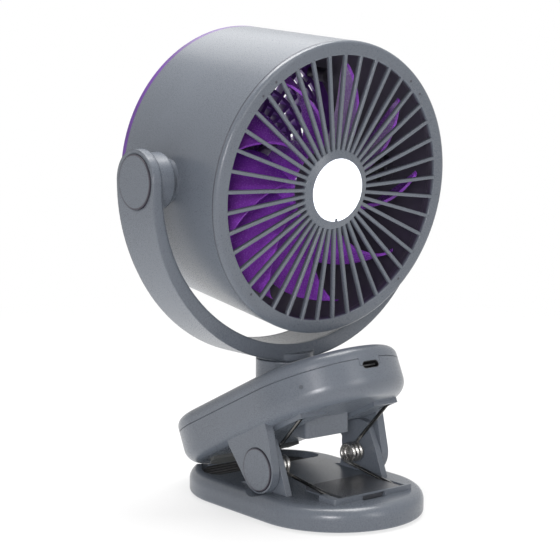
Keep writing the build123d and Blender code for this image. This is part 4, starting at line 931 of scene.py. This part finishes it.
class ShapeTree(Graph):
    """A Geometry Nodes tree with named sizes, which ends in one plain mesh."""

    edge_steps = 4

    def __init__(self, name: str, sizes: dict[str, float | int]) -> None:
        """Makes the tree and its inputs.

        Args:
            name: The tree's name.
            sizes: Each input's name and value. A whole number makes a whole-number input.
        """
        super().__init__(bpy.data.node_groups.new(name, "GeometryNodeTree"))
        add = self.tree.interface.new_socket
        add("Geometry", in_out="OUTPUT", socket_type="NodeSocketGeometry")
        for size, value in sizes.items():
            kind = "NodeSocketInt" if isinstance(value, int) else "NodeSocketFloat"
            add(size, in_out="INPUT", socket_type=kind).default_value = value
        self.inputs = self.node("NodeGroupInput")

    def size(self, name: str) -> Number:
        """A named size, as a Number.

        Args:
            name: The input's name.

        Returns:
            The Number.
        """
        return self.number(self.inputs, name)

    def join(self, *shapes: Node) -> Node:
        """Several shapes as one.

        Args:
            *shapes: The shapes.

        Returns:
            The joined shape.
        """
        node = self.node("GeometryNodeJoinGeometry")
        for shape in shapes:
            self.feed(node.inputs[0], shape)
        return node

    def raised(self, shape: Node, height: Number) -> Node:
        """A shape moved along Z.

        Args:
            shape: The shape.
            height: How far it moves.

        Returns:
            The moved shape.
        """
        values = {"Geometry": shape, "Translation": self.vector(0, 0, height)}
        return self.node("GeometryNodeTransform", values)

    def around(self, shape: Node, count: Number, phase: Number) -> Node:
        """Copies of a shape, evenly spaced about Z.

        Args:
            shape: The first copy.
            count: How many there are.
            phase: The first copy's angle, in radians.

        Returns:
            The instances.
        """
        points = self.node("GeometryNodePoints", {"Count": count})
        index = self.number(self.node("GeometryNodeInputIndex"))
        turn = self.vector(0, 0, index / count * TAU + phase)
        values = {"Points": points, "Instance": shape, "Rotation": turn}
        return self.node("GeometryNodeInstanceOnPoints", values)

    def bar(
        self, length: Number, width: Number, depth: Number, edge: Number, low: Number
    ) -> Node:
        """A bar along X with rounded long edges.

        Args:
            length: How long it is.
            width: Its size along Y.
            depth: Its size along Z, below Z = 0.
            edge: The radius of its long edges.
            low: Where it starts along X.

        Returns:
            The bar.
        """
        start = self.vector(low, 0, depth * -0.5)
        values = {"Start": start, "Direction": (1, 0, 0), "Length": length}
        path = self.node("GeometryNodeCurvePrimitiveLine", values, {"mode": "DIRECTION"})
        kind = "GeometryNodeCurvePrimitiveQuadrilateral"
        outline = self.node(kind, {"Width": width, "Height": depth}, {"mode": "RECTANGLE"})
        values = {"Curve": outline, "Count": self.edge_steps, "Radius": edge}
        values["Limit Radius"] = True
        rounded = self.node("GeometryNodeFilletCurve", values, {"mode": "POLY"})
        return self.swept(path, rounded)

    def swept(self, path: Node, outline: Node) -> Node:
        """A solid along a path, closed at both ends.

        Args:
            path: The node that gives the path.
            outline: The node that gives its outline.

        Returns:
            The solid.
        """
        values = {"Curve": path, "Profile Curve": outline, "Fill Caps": True}
        return self.node("GeometryNodeCurveToMesh", values)

    def round_bar(self, top: Number, bottom: Number, depth: Number, low: Number) -> Node:
        """A round bar along Z, with as many facets as the size Sides.

        Args:
            top: Its upper radius.
            bottom: Its lower radius.
            depth: How long it is.
            low: Where it starts along Z.

        Returns:
            The bar.
        """
        values = {"Vertices": self.size("Sides"), "Radius Top": top, "Radius Bottom": bottom}
        values["Depth"] = depth
        return self.raised(self.node("GeometryNodeMeshCone", values), low)

    def to_mesh(self, shape: Node, material: Material) -> Mesh:
        """Ends the tree, runs it once and gives its result.

        Args:
            shape: The tree's last shape.
            material: The material that it gets.

        Returns:
            A plain mesh.
        """
        real = self.node("GeometryNodeRealizeInstances", {"Geometry": shape})
        last = self.node("GeometryNodeSetMaterial", {"Geometry": real, "Material": material})
        self.node("NodeGroupOutput", {0: last})
        carrier = added(self.tree.name, bpy.data.meshes.new(self.tree.name))
        carrier.modifiers.new(self.tree.name, "NODES").node_group = self.tree
        depsgraph = bpy.context.evaluated_depsgraph_get()
        mesh = bpy.data.meshes.new_from_object(carrier.evaluated_get(depsgraph))
        bpy.data.objects.remove(carrier)
        return mesh


# ---- Springs ----
@dataclass
class Springs:
    """The clamp's two torsion springs, a mirror pair."""

    wire: float = 1.7
    radius: float = 3.75
    pitch: float = 2.24
    turns: int = 3
    inner_x: float = 17.7
    lower_end: Pair = (-57.5, 12.9)
    upper_end_y: float = -41.0
    upper_end_drop: float = 1.4
    points: int = 420
    sides: int = 16
    finish: Finish = FINISHES[Slot.SPRING]

    def upper_end(self) -> Pair:
        """Where the case-side leg ends.

        Returns:
            Its Y, and its height above the table.
        """
        tilt = math.radians(CASE_TILT)
        low = -CASE_BELOW - self.upper_end_drop
        y = self.upper_end_y * math.cos(tilt) + low * math.sin(tilt)
        return y, CASE_SEAM_HEIGHT - self.upper_end_y * math.sin(tilt) + low * math.cos(tilt)

    def leg(self, end: Pair, wrap: int) -> Pair:
        """A straight leg that touches the coil.

        Args:
            end: The leg's free end, as (Y, Z).
            wrap: On which side it touches.

        Returns:
            The angle where it touches, and its length.
        """
        dy, dz = end[0] - HINGE_Y, end[1] - HINGE_Z
        reach = math.hypot(dy, dz)
        angle = math.atan2(dz, dy) + wrap * math.acos(self.radius / reach)
        return angle, math.sqrt(reach**2 - self.radius**2)

    def mesh(self, side: int, material: Material) -> Mesh:
        """One spring as a swept wire.

        Args:
            side: 1 for the right-hand one, -1 for the left.
            material: The wire's material.

        Returns:
            The spring's mesh, in place.
        """
        first, low_leg = self.leg(self.lower_end, 1)
        last, high_leg = self.leg(self.upper_end(), -1)
        first -= TAU * math.ceil((first - last) / TAU)
        sizes = metres(self, "wire", "radius", "pitch", "inner_x") | {
            "First Angle": first,
            "Sweep": last - first + TAU * self.turns,
            "Lower Leg": low_leg * MM,
            "Upper Leg": high_leg * MM,
            "Side": float(side),
            "Points": self.points,
            "Sides": self.sides,
        }
        tree = ShapeTree("spring_wire", sizes)
        line = tree.node("GeometryNodeCurvePrimitiveLine")
        values = {"Curve": line, "Count": tree.size("Points")}
        path = tree.node("GeometryNodeResampleCurve", values, {"mode": "COUNT"})
        share = tree.number(tree.node("GeometryNodeSplineParameter"), "Factor")
        radius = tree.size("Radius")
        coil = tree.size("Sweep") * radius
        before = tree.size("Lower Leg")
        place = share * (before + coil + tree.size("Upper Leg"))
        along = (place - before).most(0.0).least(coil) / radius
        ahead = (place - before - coil).most(0.0)
        behind = (before - place).most(0.0)
        angle = tree.size("First Angle") + along
        out = ahead - behind
        position = tree.vector(
            (tree.size("Inner X") + along * tree.size("Pitch") / TAU) * tree.size("Side"),
            angle.cosine() * radius - angle.sine() * out + HINGE_Y * MM,
            angle.sine() * radius + angle.cosine() * out + HINGE_Z * MM,
        )
        bent = tree.node("GeometryNodeSetPosition", {"Geometry": path, "Position": position})
        values = {"Resolution": tree.size("Sides"), "Radius": tree.size("Wire") / 2}
        ring = tree.node("GeometryNodeCurvePrimitiveCircle", values, {"mode": "RADIUS"})
        return tree.to_mesh(tree.swept(bent, ring), material)

    def build(self) -> list[Piece]:
        """Makes both springs in one fixed shape; the real ones twist as the clamp opens.

        Returns:
            The two pieces.
        """
        pieces = []
        for side, node in ((1, "right_spring"), (-1, "left_spring")):
            mesh = self.mesh(side, self.finish.material())
            spring = piece_of(node + "_wire", [mesh])
            stand_in(spring, node, self.finish)
            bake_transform(spring)
            pieces.append(spring)
        return pieces


# ---- Screws ----
@dataclass
class ScrewSet:
    """Pan-head screws with a cross recess, all with their heads toward a frame's -Z.

    Each of the places stands for two screws, one on either side of the fan's middle.
    """

    node: str
    body: Body
    frame: Matrix
    face: float
    places: Sequence[Pair]
    shaft: float
    head_radius: float = 2.3
    head: float = 1.3
    head_edge: float = 0.5
    shaft_radius: float = 1.2
    cross_length: float = 2.6
    cross_width: float = 0.55
    cross_depth: float = 0.8
    turn_step: float = 20.0
    sides: int = 40
    finish: Finish = FINISHES[Slot.SCREW]

    def mesh(self, material: Material) -> Mesh:
        """One screw.

        Args:
            material: Its material.

        Returns:
            Its mesh, with the head's face at Z = 0.
        """
        sizes = metres(self, "head_radius", "head", "head_edge", "shaft", "shaft_radius")
        sizes |= metres(self, "cross_length", "cross_width", "cross_depth")
        sizes["Sides"] = self.sides
        tree = ShapeTree(self.node, sizes)
        radius, head = tree.size("Head Radius"), tree.size("Head")
        solid = tree.round_bar(radius - tree.size("Head Edge"), radius, head, head * -1)
        settings = {"operation": "DIFFERENCE", "solver": "EXACT"}
        cut = tree.node("GeometryNodeMeshBoolean", {"Mesh 1": solid}, settings)
        length, width = tree.size("Cross Length"), tree.size("Cross Width")
        deep = tree.size("Cross Depth") * 2
        for x, y in ((length, width), (width, length)):
            cube = tree.node("GeometryNodeMeshCube", {"Size": tree.vector(x, y, deep)})
            tree.feed(cut.inputs["Mesh 2"], cube)
        thin, length = tree.size("Shaft Radius"), tree.size("Shaft")
        shaft = tree.round_bar(thin, thin, length, head * -1 - length)
        return tree.to_mesh(tree.join(cut, shaft), material)

    def build(self) -> list[Piece]:
        """Makes the set as one piece.

        Returns:
            The piece, alone in a list.
        """
        first = self.mesh(self.finish.material())
        meshes = []
        flip = Matrix.Rotation(math.pi, 4, "X")
        both = [(side * x, y) for x, y in self.places for side in (1, -1)]
        for index, (x, y) in enumerate(both):
            screw = first.copy()
            turn = Matrix.Rotation(math.radians(self.turn_step * index), 4, "Z")
            screw.transform(Matrix.Translation((x * MM, y * MM, self.face * MM)) @ flip @ turn)
            meshes.append(screw)
        bpy.data.meshes.remove(first)
        piece = piece_of(self.node + "_crossed", meshes, self.frame)
        stand_in(piece, self.node, self.finish)
        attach(piece, self.body.value)
        return [piece]


BASE_PLACES = ((24.0, -30.0), (24.0, -1.0))
CASE_PLACES = ((8.0, -22.0), (21.0, 36.0))
REAR_PLACES = ((REAR_SCREW, REAR_SCREW), (REAR_SCREW, -REAR_SCREW))
SCREW_SETS = (
    ScrewSet("base_screws", Body.LOWER_JAW, Matrix(), 0.8, BASE_PLACES, shaft=5.2),
    ScrewSet("case_screws", Body.UPPER_CASE, CASE_PLACE, -CASE_BELOW, CASE_PLACES, shaft=18.4),
    ScrewSet("rear_screws", Body.HEAD, HEAD_PLACE, -HEAD_REAR, REAR_PLACES, shaft=9.2),
)


# ---- Front grille ----
@dataclass
class FrontGrille:
    """The front ring with its rounded radial bars, and the cup that holds the lens."""

    finish: Finish = GRILLE_PLASTIC
    bars: int = 41
    phase: float = 3.0
    bar_width: float = 1.65
    bar_depth: float = 2.2
    bar_edge: float = 0.55
    bar_low: float = 15.75
    bar_high: float = 59.7
    key_phase: float = 273.0
    key_low: float = 12.7
    key_length: float = 1.5
    key_width: float = 1.4
    key_depth: float = 2.4
    key_edge: float = 0.1
    hub_rise: float = 1.2
    # Each corner's radius, height over the grille's face, and rounding.
    ring: Sequence[Triple] = (
        (58.7, 0.0, 0.7),
        (HEAD_RADIUS, 0.0, 2.0),
        (HEAD_RADIUS, RING_SEAM - HEAD_FRONT, 0.15),
        (62.58, RING_SEAM - HEAD_FRONT, 0.0),
        (62.58, -7.1, 0.3),
        (60.68, -7.1, 0.3),
        (60.68, -4.0, 0.0),
        (58.7, -4.0, 0.5),
    )
    cup: Sequence[Triple] = (
        (0.0, -7.5, 0.0),
        (17.6, -7.5, 0.8),
        (17.6, 0.0, 0.5),
        (14.4, 1.2, 0.12),
        (14.05, 1.2, 0.0),
        (14.05, -6.3, 0.0),
        (0.0, -6.3, 0.0),
    )

    def bars_mesh(self, material: Material) -> Mesh:
        """The radial bars and the key of the lens.

        Args:
            material: Their material.

        Returns:
            One mesh, with the bars' front at Z = 0.
        """
        bar_sizes = ("bar_width", "bar_depth", "bar_edge", "bar_low", "bar_high", "hub_rise")
        key_sizes = ("key_length", "key_width", "key_depth", "key_edge", "key_low")
        sizes = metres(self, *bar_sizes, *key_sizes) | {
            "Bars": self.bars,
            "Phase": math.radians(self.phase),
            "Keys": 1,
            "Key Phase": math.radians(self.key_phase),
        }
        tree = ShapeTree("grille_bars", sizes)
        low = tree.size("Bar Low")
        section = [tree.size(name) for name in ("Bar Width", "Bar Depth", "Bar Edge")]
        bar = tree.bar(tree.size("Bar High") - low, *section, low)
        bars = tree.around(bar, tree.size("Bars"), tree.size("Phase"))
        key_names = ("Key Length", "Key Width", "Key Depth", "Key Edge", "Key Low")
        key = tree.raised(tree.bar(*(tree.size(name) for name in key_names)), tree.size("Hub Rise"))
        turned = tree.around(key, tree.size("Keys"), tree.size("Key Phase"))
        return tree.to_mesh(tree.join(bars, turned), material)

    def build(self) -> list[Piece]:
        """Makes the grille, which tilts with the head.

        Returns:
            The piece, alone in a list.
        """
        bars = self.bars_mesh(self.finish.material())
        place = HEAD_PLACE @ Matrix.Translation((0, 0, HEAD_FRONT * MM))
        meshes = [bars, lathe(eased(self.ring)), lathe(eased(self.cup))]
        piece = piece_of("front_grille_bars", meshes, place)
        stand_in(piece, "front_grille", self.finish)
        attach(piece, Body.HEAD.value)
        return [piece]


# ---- Studio ----
@dataclass(frozen=True)
class Lamp:
    """A soft rectangular lamp that points at the fan. Its place and size are in metres."""

    name: str
    at: Triple
    size: Pair
    watts: float
    color: Triple
    shadow: bool = True
    aim: Triple = (0.0, 0.0, 0.11)

    def build(self) -> None:
        """Puts the lamp in the scene."""
        data = bpy.data.lights.new(self.name, "AREA")
        data.use_shadow = self.shadow
        data.shape = "RECTANGLE"
        data.size, data.size_y = self.size
        data.energy = self.watts
        data.color = self.color
        lamp = added(self.name, data)
        lamp.location = self.at
        toward = Vector(self.aim) - Vector(self.at)
        lamp.rotation_euler = toward.to_track_quat("-Z", "Y").to_euler()


@dataclass
class Studio:
    """The camera, the lamps, the white surroundings and the floor."""

    camera_at: Triple = (-472.05, -585.85, 201.4)
    right: Triple = (0.7799235, -0.62585298, 0.00523181)
    up: Triple = (0.07966688, 0.10756329, 0.99100117)
    forward: Triple = (0.62078379, 0.77248831, -0.13375089)
    focal_pixels: float = 1660.114
    frame_pixels: float = 560.0
    sensor: float = 36.0
    clip: Pair = (0.01, 50.0)
    world_light: float = 0.225
    gloss_share: float = 0.85
    floor_radius: float = 6.0
    floor_sides: int = 96
    floor_light: float = 0.32
    floor_glow: float = 0.72
    floor_fade: Pair = (0.15, 0.6)
    floor_tones: Pair = (0.8, 0.84)
    floor_cloud: float = 40.0
    # The last lamp stands under the floor, whose own light doesn't reach the fan.
    lamps: Sequence[Lamp] = (
        Lamp("top_lamp", (0.1, 0.1, 1.3), (1.0, 0.8), 30.0, (1.0, 0.99, 0.98)),
        Lamp("left_lamp", (-1.0, -0.6, 0.05), (0.3, 0.45), 0.8, (0.97, 0.99, 1.0)),
        Lamp("right_lamp", (0.25, -1.25, 0.45), (0.35, 0.7), 3.2, (1.0, 0.99, 0.98)),
        Lamp("blade_lamp", (-0.9, -0.9, 0.35), (0.25, 0.3), 8.0, (1.0, 0.98, 1.0)),
        Lamp("back_lamp", (0.5, 0.9, 0.9), (0.8, 0.5), 1.9, (1.0, 1.0, 1.0)),
        Lamp("bounce_lamp", (-0.6, -0.3, -0.5), (0.6, 0.6), 4.0, (0.98, 0.99, 1.0), shadow=False),
    )

    def camera(self) -> None:
        """Puts the camera where the photograph was taken from."""
        data = bpy.data.cameras.new("camera")
        data.sensor_width = self.sensor
        data.lens = self.focal_pixels / self.frame_pixels * self.sensor
        data.clip_start, data.clip_end = self.clip
        camera = added("camera", data)
        turn = Matrix((self.right, self.up, [-part for part in self.forward])).transposed()
        camera.matrix_world = Matrix.Translation(Vector(self.camera_at) * MM) @ turn.to_4x4()
        bpy.context.scene.camera = camera

    def world(self) -> None:
        """White where the camera or a gloss sees it, and a plain level for light."""
        world = bpy.data.worlds.new("world")
        world.use_nodes = True
        bpy.context.scene.world = world
        sky = Graph(world.node_tree)
        ray = sky.node("ShaderNodeLightPath")
        seen = sky.number(ray, "Is Camera Ray").most(sky.number(ray, "Is Transmission Ray"))
        seen = seen.most(sky.number(ray, "Is Glossy Ray") * self.gloss_share)
        strength = self.world_light + seen * (1 - self.world_light)
        values = {"Color": (1, 1, 1, 1), "Strength": strength}
        sky.node("ShaderNodeOutputWorld", {0: sky.node("ShaderNodeBackground", values)})

    def floor(self) -> Piece:
        """A pale floor that stays white and keeps the fan's shadow.

        Returns:
            The floor.
        """
        made = bmesh.new()
        size = {"segments": self.floor_sides, "radius": self.floor_radius}
        bmesh.ops.create_circle(made, cap_ends=True, **size)
        mesh = bpy.data.meshes.new("floor")
        made.to_mesh(mesh)
        made.free()
        floor = added("floor", mesh)
        surface = Surface("floor_white")
        x, y, _ = surface.parts(surface.place)
        far = (x * x + y * y).root().between(*self.floor_fade)
        ray = surface.node("ShaderNodeLightPath")
        seen = surface.number(ray, "Is Camera Ray").most(surface.number(ray, "Is Glossy Ray"))
        seen = seen.most(surface.number(ray, "Is Transmission Ray"))
        white = (1.0, 1.0, 1.0)
        tones = (shade_of(white, tone) for tone in self.floor_tones)
        tint = surface.mix(surface.noise(self.floor_cloud, detail=3.0), *tones)
        matte = surface.node("ShaderNodeBsdfDiffuse", {"Color": tint})
        glow = surface.node("ShaderNodeEmission", {"Color": (1, 1, 1, 1)})
        share = seen * (self.floor_glow + far * (1 - self.floor_glow))
        share = share + (1 - seen) * self.floor_light
        mixed = surface.node("ShaderNodeMixShader", {0: share, 1: matte, 2: glow})
        surface.node("ShaderNodeOutputMaterial", {0: mixed})
        floor.data.materials.append(surface.material)
        return floor

    def build(self) -> None:
        """Sets the whole studio up."""
        bpy.context.scene.view_settings.view_transform = "Standard"
        self.camera()
        self.world()
        self.floor()
        for lamp in self.lamps:
            lamp.build()


# ---- The whole fan ----
def main() -> None:
    """Builds each assembly in order and reports its pieces."""
    logging.basicConfig(level=logging.INFO, format="%(name)s: %(message)s")
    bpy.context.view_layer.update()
    Studio().build()
    dress_nodes()
    for assembly in (Springs(), FrontGrille(), *SCREW_SETS):
        for piece in assembly.build():
            LOG.info("%s: %d faces", piece.name, len(piece.data.polygons))


if __name__ == "__main__":
    main()
